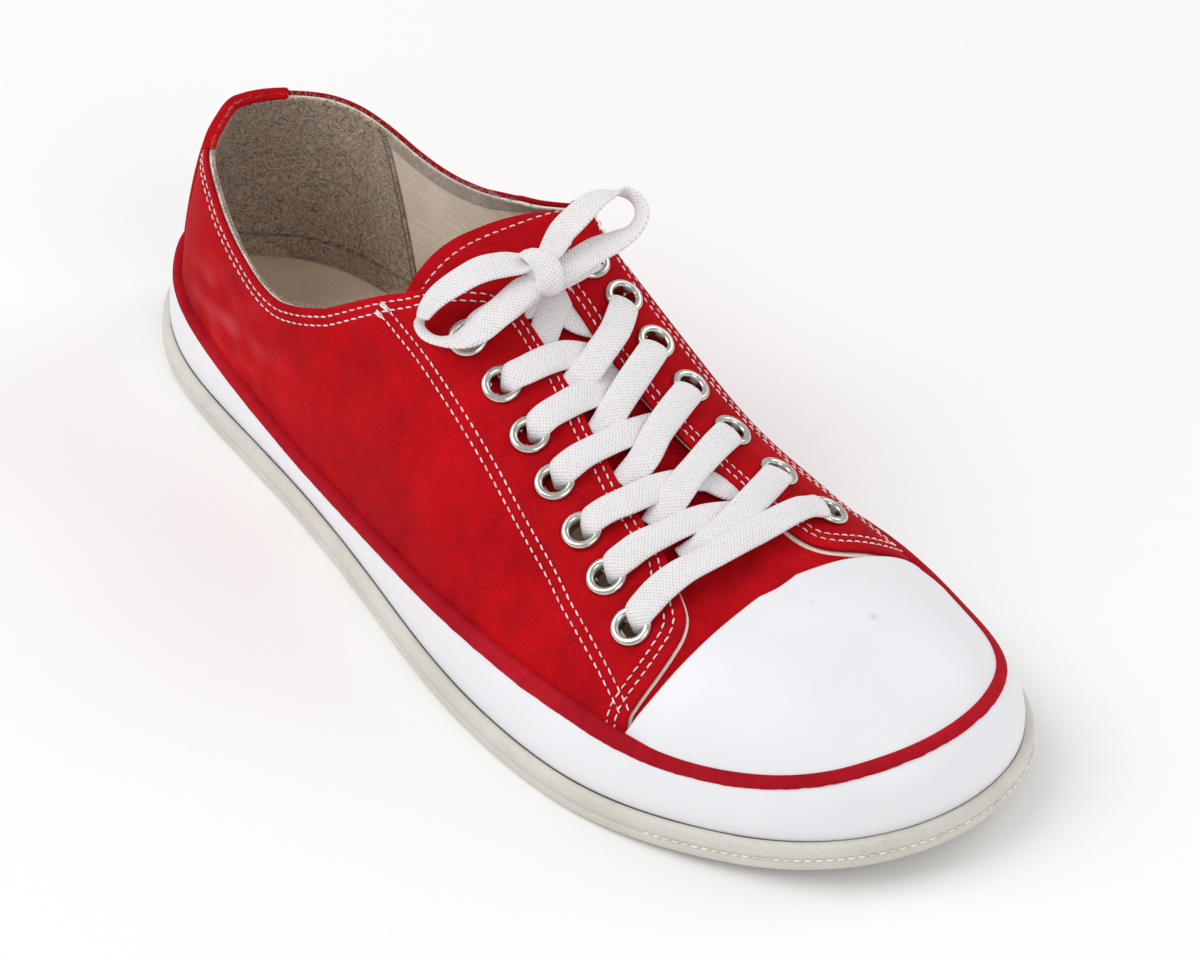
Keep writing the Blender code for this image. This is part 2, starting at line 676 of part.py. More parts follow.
def build_piping(materials, parts):
    """Narrow red strip on top of the foxing."""
    at = columns()
    start, stop = piping_levels(at)
    inner, outer = WRAP_GAP, WRAP_GAP + PIPING_THICK
    loops = [last_points(at, start, inner), last_points(at, start, outer),
             last_points(at, stop, outer), last_points(at, stop, inner)]
    return band("piping", loops, materials["red_nubuck"], parts)


def build_toe_cap(materials, parts, cutters):
    """White overlay that fits over the vamp, cut between two larger forms of the last."""
    cap = closed_form("toe_cap", form_rings(GAP + CAP_THICK), materials["white_leather"], parts)
    core = closed_form("cap_core", form_rings(GAP, SOLE_RIM - 3.0), None, cutters)
    at = columns()
    edge = piping_levels(at)[1] + 0.012
    foot = last_points(at, edge, 25.0)
    foot[:, 2] = -20.0
    below = closed_form("below_piping", [foot, last_points(at, edge, 25.0), last_points(at, edge, -10.0)],
                        None, cutters)
    behind_points = [(x, s, z) for x in (-90.0, 90.0) for s in (-40.0, CAP_BACK) for z in (-30.0, 140.0)]
    behind = make_object("behind_cap", world(behind_points),
                         [(0, 1, 3, 2), (4, 6, 7, 5), (0, 4, 5, 1), (2, 3, 7, 6), (0, 2, 6, 4), (1, 5, 7, 3)],
                         None, cutters)
    cut(cap, core, "DIFFERENCE")
    cut(cap, below, "DIFFERENCE")
    cut(cap, behind, "DIFFERENCE")
    return cap


def lace_strip(name, start, finish, offset, material, collection):
    """Flat length of lace from start to finish (side, station), offset from the last."""
    share = np.linspace(0.0, 1.0, 5)[:, None]
    start, finish = np.array(start), np.array(finish)
    run = (finish - start) / np.linalg.norm(finish - start)
    sideways = np.array([-run[1], run[0]]) * LACE_WIDTH / 2.0
    middle = start + (finish - start) * share
    plan = np.stack([middle - sideways, middle + sideways], axis=1)
    under = above(plan[..., 0], plan[..., 1], offset)
    top = above(plan[..., 0], plan[..., 1], offset + LACE_THICK)
    return thick_sheet(name, top, under, material, collection)


def build_laces(materials, parts, cutters):
    """Laced facings: a bar below, five crossings joined at the eyelets, a sixth deeper in the throat."""
    lateral, medial = np.array(LATERAL_EYELETS), np.array(MEDIAL_EYELETS)
    clear = EYELET_OUTER / 2.0 + GAP
    across = medial[-1] - lateral[-1]
    across = across / np.linalg.norm(across)
    ladder = lace_strip("lace_crossings", lateral[-1] + across * clear, medial[-1] - across * clear,
                        LACE_LIFT, materials["cotton"], parts)
    for k in range(len(lateral) - 2, -1, -1):
        for side_name, source, goal in (("medial", lateral, medial), ("lateral", medial, lateral)):
            run = goal[k] - source[k + 1]
            edge = clear / np.linalg.norm(run)
            name = f"strip_{k + 1}_{side_name}"
            if k:
                offset = LACE_LIFT + (LACE_STEP if side_name == "medial" else 0.0)
                strip = lace_strip(name, source[k + 1] + run * edge, goal[k] - run * edge, offset,
                                   None, cutters)
                cut(ladder, strip, "UNION")
            elif side_name == "medial":
                top = lace_strip("lace_top_crossing", source[1] + run * 0.48, source[1] + run * 0.62,
                                 0.1 - UPPER_WALL, materials["cotton"], parts)
            else:
                strip = lace_strip(name, source[1] + run * 0.40, source[1] + run * 0.54,
                                   0.8 - UPPER_WALL, None, cutters)
                cut(top, strip, "UNION")


def smooth_route(route, spacing):
    """Evenly spaced points of a smooth curve through the route's own points."""
    points = np.array([tuple(via) for via in route], float)
    ends = np.vstack([2 * points[0] - points[1], points, 2 * points[-1] - points[-2]])
    dense = []
    for a, b, c, d in zip(ends[:-3], ends[1:-2], ends[2:-1], ends[3:]):
        for t in np.linspace(0.0, 1.0, 20, endpoint=False):
            dense.append(0.5 * (2 * b + (c - a) * t + (2 * a - 5 * b + 4 * c - d) * t ** 2
                                + (3 * b - a - 3 * c + d) * t ** 3))
    dense = np.vstack([dense, points[-1:]])
    length = np.concatenate([[0.0], np.cumsum(np.linalg.norm(np.diff(dense, axis=0), axis=1))])
    count = max(4, int(round(length[-1] / spacing)) + 1)
    even = np.linspace(0.0, length[-1], count)
    return np.column_stack([np.interp(even, length, dense[:, i]) for i in range(3)])


def build_cords(materials, parts):
    """The free lace as plain round tubes: two strands from the top eyelets, a knot and two loops."""
    cords = {
        "lace_knot": (KNOT, KNOT_DIAMETER, 3),
        "lace_loop_lateral": (LOOP_LATERAL, CORD_DIAMETER, 2),
        "lace_loop_medial": (LOOP_MEDIAL, CORD_DIAMETER, 2),
        "lace_strand_lateral": (STRAND_LATERAL, CORD_DIAMETER, 2),
        "lace_strand_medial": (STRAND_MEDIAL, CORD_DIAMETER, 2),
    }
    for name, (route, diameter, resolution) in cords.items():
        curve = bpy.data.curves.new(name, "CURVE")
        curve.dimensions = "3D"
        curve.bevel_depth = diameter * MM / 2.0
        curve.bevel_resolution = resolution
        curve.use_fill_caps = True
        points = world(smooth_route(route, min(2.4 * diameter, 7.0)))
        spline = curve.splines.new("POLY")
        spline.points.add(len(points) - 1)
        for point, place in zip(spline.points, points):
            point.co = (*place, 1.0)
        curve.materials.append(materials["cotton"])
        parts.objects.link(bpy.data.objects.new(name, curve))


def main():
    """Build every piece of the shoe."""
    clear_scene()
    parts = new_collection("barefoot_sneaker", False)
    cutters = new_collection("cutters", True)
    materials = {
        "red_nubuck": make_material("red_nubuck", (0.70, 0.09, 0.13), 0.85),
        "white_leather": make_material("white_leather", (0.92, 0.92, 0.93), 0.45),
        "rubber": make_material("rubber", (0.84, 0.82, 0.78), 0.7),
        "footbed": make_material("footbed", (0.72, 0.64, 0.56), 0.8),
        "nickel": make_material("nickel", (0.80, 0.79, 0.77), 0.25, 1.0),
        "cotton": make_material("cotton", (0.95, 0.94, 0.94), 0.9),
    }
    build_outsole(materials, parts, cutters)
    build_insole(materials, parts)
    build_upper(materials, parts, cutters)
    build_foxing(materials, parts)
    build_piping(materials, parts)
    build_toe_cap(materials, parts, cutters)
    build_tongue(materials, parts)
    build_eyelets(materials, parts)
    build_laces(materials, parts, cutters)
    build_cords(materials, parts)
    for obj in cutters.objects:
        obj.hide_render = True
        obj.display_type = "WIRE"


main()
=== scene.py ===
"""Looks of a barefoot sneaker, right shoe: nubuck quarters, toe cap, sewn rand, flat lace in a bow.

Tables and functions work in millimetres as (side, station, z): side is + towards the inner ankle,
station counts from the back of the sole, z from the ground. world() turns that into the frame, in
metres.
"""
import math
from collections import namedtuple

import bmesh
import bpy
import numpy as np
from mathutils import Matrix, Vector

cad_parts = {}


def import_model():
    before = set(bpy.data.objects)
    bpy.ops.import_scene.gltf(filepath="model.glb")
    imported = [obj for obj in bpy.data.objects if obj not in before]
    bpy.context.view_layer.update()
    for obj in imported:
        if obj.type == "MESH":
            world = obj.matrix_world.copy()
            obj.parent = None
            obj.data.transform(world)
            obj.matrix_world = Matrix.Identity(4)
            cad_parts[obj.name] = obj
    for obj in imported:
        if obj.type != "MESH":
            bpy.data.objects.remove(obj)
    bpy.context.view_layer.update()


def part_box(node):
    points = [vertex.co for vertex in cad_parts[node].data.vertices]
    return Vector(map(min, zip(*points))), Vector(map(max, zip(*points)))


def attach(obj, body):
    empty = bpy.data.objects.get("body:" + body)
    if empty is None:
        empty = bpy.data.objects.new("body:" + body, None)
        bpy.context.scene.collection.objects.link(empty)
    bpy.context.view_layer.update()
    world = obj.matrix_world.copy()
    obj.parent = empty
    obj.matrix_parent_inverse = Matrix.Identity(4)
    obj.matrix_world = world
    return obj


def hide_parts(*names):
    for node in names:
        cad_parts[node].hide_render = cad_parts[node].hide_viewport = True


bl_info = {
    "name": "Barefoot Sneaker",
    "version": (1, 0, 0),
    "blender": (4, 5, 0),
    "location": "View3D > Sidebar > Sneaker",
    "description": "Surfaces, stitching, lacing and studio of a barefoot sneaker",
    "category": "Object",
}

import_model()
MM = 0.001


def rows_of(kind, rows):
    """Table whose rows have named columns."""
    return [kind(*row) for row in rows]


# ---- the last and the edges on it, as the frame has them (mm) ----------------------------------------
SOLE_LOW, SOLE_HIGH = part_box("outsole")
LENGTH = round((SOLE_HIGH.y - SOLE_LOW.y) / MM, 1)
SOLE_RIM = 7.4            # height of the rubber rim
TOE_SPRING = 7.4          # lift of the sole under the toe tip
SPRING_FROM = 0.70        # share of the length from which the toe lifts
UPPER_INSET = 5.0         # of the upper's foot from the sole's edge
GAP = 0.3                 # between the rubber rim and the upper's foot

Section = namedtuple("Section", "station rim_lateral rim_medial top_station top_lateral top_medial "
                                "top_z full_lateral full_medial")
SECTIONS = rows_of(Section, [
    (10.0, -11.7, 23.7, 32.4, 0.4, 14.8, 78.0, 1.43, 1.53),
    (28.5, -23.0, 35.4, 40.8, -11.0, 23.0, 77.5, 1.64, 1.84),
    (57.0, -29.7, 39.4, 62.5, -15.1, 29.6, 76.5, 2.00, 2.45),
    (94.0, -35.4, 41.2, 91.5, -7.7, 21.2, 78.5, 1.92, 2.15),
    (113.0, -39.2, 42.4, 110.0, 7.9, 7.9, 79.0, 2.00, 3.60),
    (131.0, -43.4, 44.2, 126.0, 7.1, 7.1, 74.0, 2.10, 4.60),
    (165.0, -51.3, 48.4, 157.0, 5.4, 5.4, 59.3, 2.05, 3.25),
    (194.0, -54.5, 52.2, 184.0, 2.6, 2.6, 50.3, 2.00, 2.35),
    (219.5, -52.9, 54.3, 205.0, 0.9, 0.9, 45.6, 2.00, 2.15),
    (245.0, -44.7, 50.6, 220.0, 0.9, 0.9, 43.2, 2.00, 1.90),
    (265.0, -33.2, 42.5, 229.0, 1.4, 1.4, 42.3, 2.00, 2.00),
    (278.0, -18.6, 30.4, 233.0, 1.9, 1.9, 42.0, 2.00, 2.00),
])
End = namedtuple("End", "station side top_station top_side top_z full")
HEEL_END = End(0.0, 5.4, 31.2, 6.8, 78.0, 1.50)
TOE_END = End(285.0, 6.5, 234.0, 2.1, 41.9, 2.0)
HALF = len(SECTIONS) + 1  # sections are numbered from 0 at the heel to this at the toe

Collar = namedtuple("Collar", "station lateral_z medial_z")
COLLAR = rows_of(Collar, [
    (-20.0, 68.9, 68.9), (22.0, 69.0, 68.7), (29.0, 69.5, 68.1), (36.0, 68.2, 67.8), (42.0, 65.8, 66.9),
    (52.0, 58.8, 64.2), (62.0, 54.0, 61.4), (74.0, 51.4, 60.9), (86.0, 54.6, 64.3), (100.0, 61.6, 70.9),
    (112.0, 69.2, 76.4), (124.0, 77.5, 82.6), (150.0, 98.0, 98.0),
])
FLARE = 4.4               # how far the medial corner of the throat stands up and out off the instep
FLARE_AT = 5.6            # number of the section at that corner
Rand = namedtuple("Rand", "station low_z width")
# lower edge of the piping on its outer face, and the piping's width
RAND = rows_of(Rand, [
    (-10.0, 22.0, 2.4), (28.0, 21.8, 2.4), (43.5, 19.9, 2.4), (58.0, 17.5, 2.5), (76.0, 15.0, 2.6),
    (95.0, 13.6, 2.7), (114.0, 14.5, 2.8), (132.0, 16.6, 3.0), (149.0, 18.8, 3.2), (166.0, 20.4, 3.5),
    (194.0, 21.2, 3.9), (210.0, 21.1, 4.0), (225.0, 20.4, 3.7), (240.0, 20.6, 3.3), (253.0, 22.1, 3.1),
    (262.0, 23.7, 3.1), (269.0, 25.4, 3.1), (275.0, 27.2, 3.1), (280.5, 28.6, 3.1),
])
PIPING_OUT = 2.3          # how far the piping stands off the last
Tongue = namedtuple("Tongue", "station lateral medial")
TONGUE = rows_of(Tongue, [
    (111.6, -20.0, 32.6), (125.0, -20.0, 32.0), (150.0, -19.0, 29.0), (180.0, -20.5, 26.5),
    (205.0, -18.0, 22.5), (216.0, -14.0, 18.0),
])
# edge of the quarters from the toe cap's corner over the front, along the throat to the collar
Point = namedtuple("Point", "side station")
LATERAL_EDGE = rows_of(Point, [
    (-41.4, 221.7), (-39.8, 221.7), (-37.1, 221.9), (-34.4, 222.0), (-31.7, 221.9), (-28.5, 221.5),
    (-24.1, 220.4), (-20.5, 217.9), (-17.9, 213.4), (-16.0, 208.6), (-12.9, 202.4), (-10.4, 191.2),
    (-8.2, 182.5), (-6.0, 175.5), (-3.3, 166.0), (0.1, 154.3), (1.3, 145.8), (1.9, 138.3), (1.0, 132.9),
    (-0.6, 129.2), (-3.2, 126.6), (-7.6, 121.6), (-11.6, 116.0), (-14.4, 111.6),
])
MEDIAL_EDGE = rows_of(Point, [
    (42.0, 226.0), (37.6, 226.8), (33.2, 226.3), (28.8, 225.3), (23.5, 223.9), (19.3, 221.8),
    (16.7, 218.7), (15.4, 214.1), (14.1, 206.5), (14.0, 197.7), (13.1, 186.3), (12.5, 172.3),
    (12.8, 154.2), (13.9, 142.2), (14.4, 136.7), (16.0, 131.8), (19.0, 128.0), (22.8, 124.6),
    (26.6, 121.6), (29.6, 118.8),
])
CAP_EDGE = rows_of(Point, [
    (-41.9, 222.8), (-36.0, 224.1), (-28.0, 224.8), (-20.0, 225.1), (-12.0, 225.2), (-5.0, 225.0),
    (6.0, 225.0), (12.0, 225.6), (20.0, 226.2), (28.0, 227.0), (35.0, 227.4), (42.6, 227.4),
])
# straight double row of stitches over each quarter, from the collar to the cap's corner
LATERAL_ROW = rows_of(Point, [
    (-18.2, 108.6), (-19.2, 118.5), (-21.6, 131.6), (-23.6, 143.8), (-25.7, 156.3), (-28.2, 167.7),
    (-32.2, 184.8), (-34.7, 193.5), (-36.6, 201.6), (-38.6, 210.2), (-40.4, 217.6), (-41.3, 221.4),
])
MEDIAL_ROW = rows_of(Point, [
    (29.9, 121.8), (31.0, 128.0), (31.9, 135.0), (32.3, 147.0), (32.9, 157.0), (33.4, 170.0),
    (34.4, 183.0), (36.0, 197.0), (38.4, 211.0), (40.0, 218.0), (41.4, 222.6),
])
LATERAL_EYELETS = rows_of(Point, [
    (-12.4, 134.5), (-13.4, 147.4), (-15.9, 160.0), (-18.9, 172.0), (-22.2, 185.0), (-25.7, 197.3),
    (-29.7, 210.0),
])
MEDIAL_EYELETS = rows_of(Point, [
    (24.0, 135.3), (25.7, 145.4), (25.1, 157.3), (25.0, 169.6), (25.5, 183.3), (27.0, 197.5),
    (29.2, 212.0),
])
EYELET_OUTER = 9.6        # diameters of an eyelet's flange and of its hole
EYELET_HOLE = 5.5
PUNCH_RADIUS = 3.4        # of the holes in the leathers under the eyelets

# depths of the rows of stitches along the quarters' edge, and at their fronts
EDGE_SEAMS = ((1.9, 2.8), (4.0, 4.9))
ROW_HALF = 1.15           # half the distance between the two rows over a quarter
CAP_RIDGE = 225.0         # station at which the cap's back edge crosses the ridge
GROOVES = (20.0, 31.0, 42.0, 53.0, 152.0, 165.0, 178.0, 191.0, 204.0, 217.0)  # across the underside
WHITE_THREAD = 0.42       # thickness of the sewing threads
HEAVY_THREAD = 0.5
FRAYS = 620

# sheets of leather: how far the outside stands off the last, and the thickness
QUARTER = (0.0, 1.35)
LINING = (-1.37, 0.8)
VAMP = (-1.75, 0.9)
TONGUE_SHEET = (-3.3, 2.0)
TOE_CAP_THICK = 2.0
SUEDE_THICK = 0.9
TAPE = (-1.95, 0.45)
STRIP_THICK = 0.75
EDGE_ROWS = (0.0, 0.05, 0.15, 0.3, 0.6, 1.1, 1.7, 2.3, 3.0)  # depths of the rows that follow a cut edge
LINING_FOOT = 1.6         # lower edge of the linings above the rubber rim
# share of the quarters' edge, from the front, and the section its column runs down to
FOOT_MARKS = ((0.06, 8.6), (0.12, 8.0), (0.22, 6.6), (0.30, 5.1), (0.36, 4.4))


# ---- curves ------------------------------------------------------------------------------------------
def periodic_spline(knots, values, period):
    """Closed cubic spline through values at knots, with continuous second derivatives."""
    count = len(knots)
    span = np.diff(np.append(knots, knots[0] + period))
    matrix = np.zeros((count, count))
    right = np.zeros_like(values)
    for i in range(count):
        before, after = span[i - 1], span[i]
        matrix[i, i - 1] += before
        matrix[i, i] += 2.0 * (before + after)
        matrix[i, (i + 1) % count] += after
        rise = (values[(i + 1) % count] - values[i]) / after
        right[i] = 6.0 * (rise - (values[i] - values[i - 1]) / before)
    bend = np.linalg.solve(matrix, right)

    def evaluate(at):
        at = np.asarray(at) % period
        i = np.clip(np.searchsorted(knots, at, side="right") - 1, 0, count - 1)
        j = (i + 1) % count
        width = span[i][:, None]
        b = (at - knots[i])[:, None] / width
        a = 1.0 - b
        curve = ((a ** 3 - a) * bend[i] + (b ** 3 - b) * bend[j]) * width ** 2 / 6.0
        return a * values[i] + b * values[j] + curve

    return evaluate


def smooth(table, column, at):
    """Cubic through one column of a table by station, its slope taken from the neighbouring rows."""
    x = np.array([row.station for row in table])
    y = np.array([getattr(row, column) for row in table])
    slope = np.gradient(y, x)
    at = np.clip(at, x[0], x[-1])
    i = np.clip(np.searchsorted(x, at, side="right") - 1, 0, len(x) - 2)
    width = x[i + 1] - x[i]
    t = (at - x[i]) / width
    return ((2 * t ** 3 - 3 * t ** 2 + 1) * y[i] + (t ** 3 - 2 * t ** 2 + t) * width * slope[i]
            + (3 * t ** 2 - 2 * t ** 3) * y[i + 1] + (t ** 3 - t ** 2) * width * slope[i + 1])


def build_rails():
    """Closed splines for the sole edge and the rail above it, heel - lateral - toe - medial."""
    def end(e):
        return (e.side, e.station, e.top_side, e.top_station, e.top_z, e.full)

    lateral = [(s.rim_lateral, s.station, s.top_lateral, s.top_station, s.top_z, s.full_lateral)
               for s in SECTIONS]
    medial = [(s.rim_medial, s.station, s.top_medial, s.top_station, s.top_z, s.full_medial)
              for s in reversed(SECTIONS)]
    values = np.array([end(HEEL_END)] + lateral + [end(TOE_END)] + medial)
    loop = np.vstack([values, values[:1]])
    lengths = np.linalg.norm(np.diff(loop[:, :2], axis=0), axis=1)
    knots = np.concatenate([[0.0], np.cumsum(lengths)])
    return periodic_spline(knots[:-1], values, knots[-1]), knots


RAILS, KNOTS = build_rails()
AROUND = KNOTS[-1]        # length of the sole's edge


def column_of(number, lateral):
    """Position round the outline of a section number, from 0 at the heel to HALF at the toe."""
    order = np.arange(HALF + 1)
    return np.where(lateral, np.interp(number, order, KNOTS[:HALF + 1]),
                    np.interp(number, order, KNOTS[:HALF - 1:-1]))


def around_columns(steps):
    """Positions round the outline, the same number of steps between sections on both sides."""
    share = np.arange(steps) / steps
    return np.concatenate([a + (b - a) * share for a, b in zip(KNOTS[:-1], KNOTS[1:])])


def toe_spring(station):
    """Lift of the sole's underside: it grows with the square of the way past the ball of the foot."""
    share = np.clip((station / LENGTH - SPRING_FROM) / (1.0 - SPRING_FROM), 0.0, None)
    return TOE_SPRING * share ** 2


def rim(at, inset=0.0):
    """Side and station of the sole's edge, moved inwards along its normal."""
    at = np.asarray(at, float)
    step = 0.01
    run = RAILS(at + step)[:, :2] - RAILS(at - step)[:, :2]
    run /= np.linalg.norm(run, axis=1)[:, None]
    outward = np.stack([-run[:, 1], run[:, 0]], axis=1)
    return RAILS(at)[:, :2] - np.reshape(inset, (-1, 1)) * outward


def section_point(at, height):
    """Point of the last: a superellipse quarter from the sole's edge up and over to the rail."""
    rail = RAILS(at)
    base = rim(at, UPPER_INSET)
    base_z = SOLE_RIM + GAP + toe_spring(base[:, 1])
    full = rail[:, 5]
    turn = np.clip(np.cos(height * math.pi / 2.0), 0.0, 1.0) ** (2.0 / full)
    lift = np.sin(height * math.pi / 2.0) ** (2.0 / full)
    plan = base + (rail[:, 2:4] - base) * (1.0 - turn)[:, None]
    number = np.interp(np.asarray(at) % AROUND, KNOTS[HALF:], np.arange(HALF, -1, -1))
    rise = np.sin(math.pi * np.clip((height - 0.3) / 0.7, 0.0, 1.0) ** 1.2) ** 2
    flare = FLARE * np.exp(-((number - FLARE_AT) / 0.5) ** 2) * rise
    return np.column_stack([plan[:, 0] + flare, plan[:, 1],
                            base_z + (rail[:, 4] - base_z) * lift + flare])


def slopes(at, height):
    """How a point of the last moves for one step round the outline, and for one step up."""
    small = 0.004
    high, low = np.minimum(height + small, 0.999), np.maximum(height - small, 0.001)
    across = section_point(at + 0.5, height) - section_point(at - 0.5, height)
    upward = (section_point(at, high) - section_point(at, low)) / (high - low)[:, None]
    return across, upward


def last_points(at, height, offset=0.0):
    """The last's surface moved out along its normal; height 0 is the sole and 1 the rail."""
    at, height, offset = np.broadcast_arrays(np.asarray(at, float), np.asarray(height, float),
                                             np.asarray(offset, float))
    shape = at.shape
    a, h, out = at.ravel(), height.ravel(), offset.ravel()
    across, upward = slopes(a, h)
    normal = np.cross(upward, across)
    normal /= np.linalg.norm(normal, axis=1)[:, None]
    return (section_point(a, h) + out[:, None] * normal).reshape(shape + (3,))


def last_normals(at, height):
    """Outward normal of the last."""
    return last_points(at, height, 1.0) - last_points(at, height, 0.0)


def over(side, station):
    """Column and height of the last above a side and station, by halving the section number."""
    side, station = np.broadcast_arrays(np.asarray(side, float), np.asarray(station, float))
    flat_side, flat_station = side.ravel(), station.ravel()
    low, high = np.full(flat_side.shape, 3.0), np.full(flat_side.shape, HALF - 0.4)
    for _ in range(32):
        number = (low + high) / 2.0
        lateral = column_of(number, True)
        at = np.where(flat_side < RAILS(lateral)[:, 2], lateral, column_of(number, False))
        base, rail = rim(at, UPPER_INSET), RAILS(at)
        share = np.clip((flat_side - base[:, 0]) / (rail[:, 2] - base[:, 0]), 0.0, 1.0)
        reached = base[:, 1] + (rail[:, 3] - base[:, 1]) * share
        low = np.where(reached < flat_station, number, low)
        high = np.where(reached < flat_station, high, number)
    height = np.arccos((1.0 - share) ** (rail[:, 5] / 2.0)) * 2.0 / math.pi
    return at.reshape(side.shape), height.reshape(side.shape)


def above(side, station, offset):
    """Point of the last over a side and station, moved out by offset."""
    at, height = over(side, station)
    return last_points(at, height, offset)


def halve(reached, count, low=0.0, high=0.98):
    """Heights at which reached(height) turns from false to true, by halving."""
    low, high = np.full(count, low), np.full(count, high)
    for _ in range(30):
        middle = (low + high) / 2.0
        done = reached(middle)
        low, high = np.where(done, low, middle), np.where(done, middle, high)
    return (low + high) / 2.0


def height_at(at, target_z, offset=0.0):
    """Height parameter at which each column of the last reaches target_z."""
    return halve(lambda h: last_points(at, h, offset)[:, 2] > target_z, len(at))


def piping_levels(at):
    """Height parameters of the piping's two edges."""
    station = rim(at, UPPER_INSET)[:, 1]
    start = height_at(at, smooth(RAND, "low_z", station), PIPING_OUT)
    foot = last_points(at, start)
    width = smooth(RAND, "width", station)
    stop = halve(lambda h: np.linalg.norm(last_points(at, np.maximum(h, start)) - foot, axis=1) > width,
                 len(at), 0.0, 0.9)
    return start, stop


def up_piping(at, share):
    """Height parameter part of the way up the piping."""
    start, stop = piping_levels(at)
    return start + (stop - start) * share


def world(points):
    """Side, station, z in millimetres to the frame in metres."""
    points = np.asarray(points, float)
    return np.stack([points[..., 0], LENGTH / 2.0 - points[..., 1], points[..., 2]], axis=-1) * MM


def unit(vectors):
    """Vectors at length one."""
    return vectors / np.maximum(np.linalg.norm(vectors, axis=-1, keepdims=True), 1e-9)


def arc_length(points):
    """Distance along a line of points, from its start."""
    return np.concatenate([[0.0], np.cumsum(np.linalg.norm(np.diff(points, axis=0), axis=1))])


def spread_along(points, values, places):
    """Values of a line read at distances along its points."""
    length = arc_length(points)
    return np.column_stack([np.interp(places, length, values[:, i]) for i in range(values.shape[1])])


def catmull(points, fine=12):
    """Smooth curve through points: cubic pieces whose slopes come from the neighbouring points."""
    points = np.asarray(points, float)
    ends = np.vstack([2 * points[0] - points[1], points, 2 * points[-1] - points[-2]])
    a, b, c, d = ends[:-3, None], ends[1:-2, None], ends[2:-1, None], ends[3:, None]
    t = np.linspace(0.0, 1.0, fine, endpoint=False)[None, :, None]
    curve = 0.5 * (2 * b + (c - a) * t + (2 * a - 5 * b + 4 * c - d) * t ** 2
                   + (3 * b - a - 3 * c + d) * t ** 3)
    return np.vstack([curve.reshape(-1, points.shape[1]), points[-1:]])


def ease(x):
    """0 below 0, 1 above 1, and smooth in between."""
    x = np.clip(x, 0.0, 1.0)
    return x * x * (3.0 - 2.0 * x)


def ripple(points, pitch, seed, parts=7):
    """Gentle unevenness: a sum of sine waves in fixed directions, about -1 to 1."""
    rng = np.random.default_rng(seed)
    total = np.zeros(points.shape[:-1])
    for _ in range(parts):
        direction = unit(rng.normal(size=3))
        wave = rng.uniform(0.6, 1.6) / pitch
        total += np.sin(points @ direction * wave * math.tau + rng.uniform(0.0, math.tau))
    return total / math.sqrt(parts * 2.0)


def turns(count):
    """Angles once round, evenly spaced."""
    return np.linspace(0.0, math.tau, count, endpoint=False)


def softened(values, power):
    """Values with their size raised to a power and their sign kept."""
    return np.sign(values) * np.abs(values) ** power


# ---- meshes ------------------------------------------------------------------------------------------
def new_mesh(name, points, faces, material, attributes=None):
    """Smooth piece from points in (side, station, z) mm; doubles merge, normals face outwards."""
    mesh = bpy.data.meshes.new(name)
    mesh.from_pydata(world(points).tolist(), [], [list(f) for f in faces])
    for label, values in (attributes or {}).items():
        values = np.asarray(values, float)
        kind, field = ("FLOAT", "value") if values.ndim == 1 else ("FLOAT_VECTOR", "vector")
        mesh.attributes.new(label, kind, "POINT").data.foreach_set(field, values.ravel())
    work = bmesh.new()
    work.from_mesh(mesh)
    loose = [v for v in work.verts if not v.link_faces]
    bmesh.ops.delete(work, geom=loose, context="VERTS")
    bmesh.ops.remove_doubles(work, verts=work.verts, dist=0.004 * MM)
    bmesh.ops.dissolve_degenerate(work, edges=work.edges, dist=0.001 * MM)
    bmesh.ops.recalc_face_normals(work, faces=work.faces)
    work.to_mesh(mesh)
    work.free()
    mesh.polygons.foreach_set("use_smooth", [True] * len(mesh.polygons))
    mesh.materials.append(material)
    piece = bpy.data.objects.new(name, mesh)
    bpy.context.scene.collection.objects.link(piece)
    return piece


def grid_faces(rows, columns, wrap_rows=False, wrap_columns=False, first=0):
    """Quads of a grid of points, joined round where asked."""
    r = np.arange(rows if wrap_rows else rows - 1)[:, None]
    c = np.arange(columns if wrap_columns else columns - 1)[None, :]
    r_next, c_next = (r + 1) % rows, (c + 1) % columns
    quads = np.stack([r * columns + c, r * columns + c_next, r_next * columns + c_next,
                      r_next * columns + c], axis=-1)
    return (quads.reshape(-1, 4) + first).tolist()


def copies(faces, count, size):
    """Faces of one small solid of size points, repeated for count of them."""
    faces = np.array(faces)
    return (faces[None] + np.arange(count)[:, None, None] * size).reshape(-1, faces.shape[1]).tolist()


def arc_rows(points):
    """Distance along each row of a grid from its first column."""
    steps = np.linalg.norm(np.diff(points, axis=1), axis=2)
    return np.concatenate([np.zeros((len(points), 1)), np.cumsum(steps, axis=1)], axis=1)


def end_distance(points):
    """Distance of each point of a grid from the nearer end of its row."""
    return np.minimum(arc_rows(points), arc_rows(points[:, ::-1])[:, ::-1])


def tube(name, rings, material, attributes=None, ring=False):
    """Solid from sections (along, round, 3), capped at the ends unless it is a ring."""
    along, around = rings.shape[:2]
    faces = grid_faces(along, around, ring, True)
    if not ring:
        faces.append(list(range(around))[::-1])
        faces.append(list(range((along - 1) * around, along * around)))
    flat = {label: np.reshape(v, (along * around,) + np.shape(v)[2:])
            for label, v in (attributes or {}).items()}
    return new_mesh(name, rings.reshape(-1, 3), faces, material, flat)


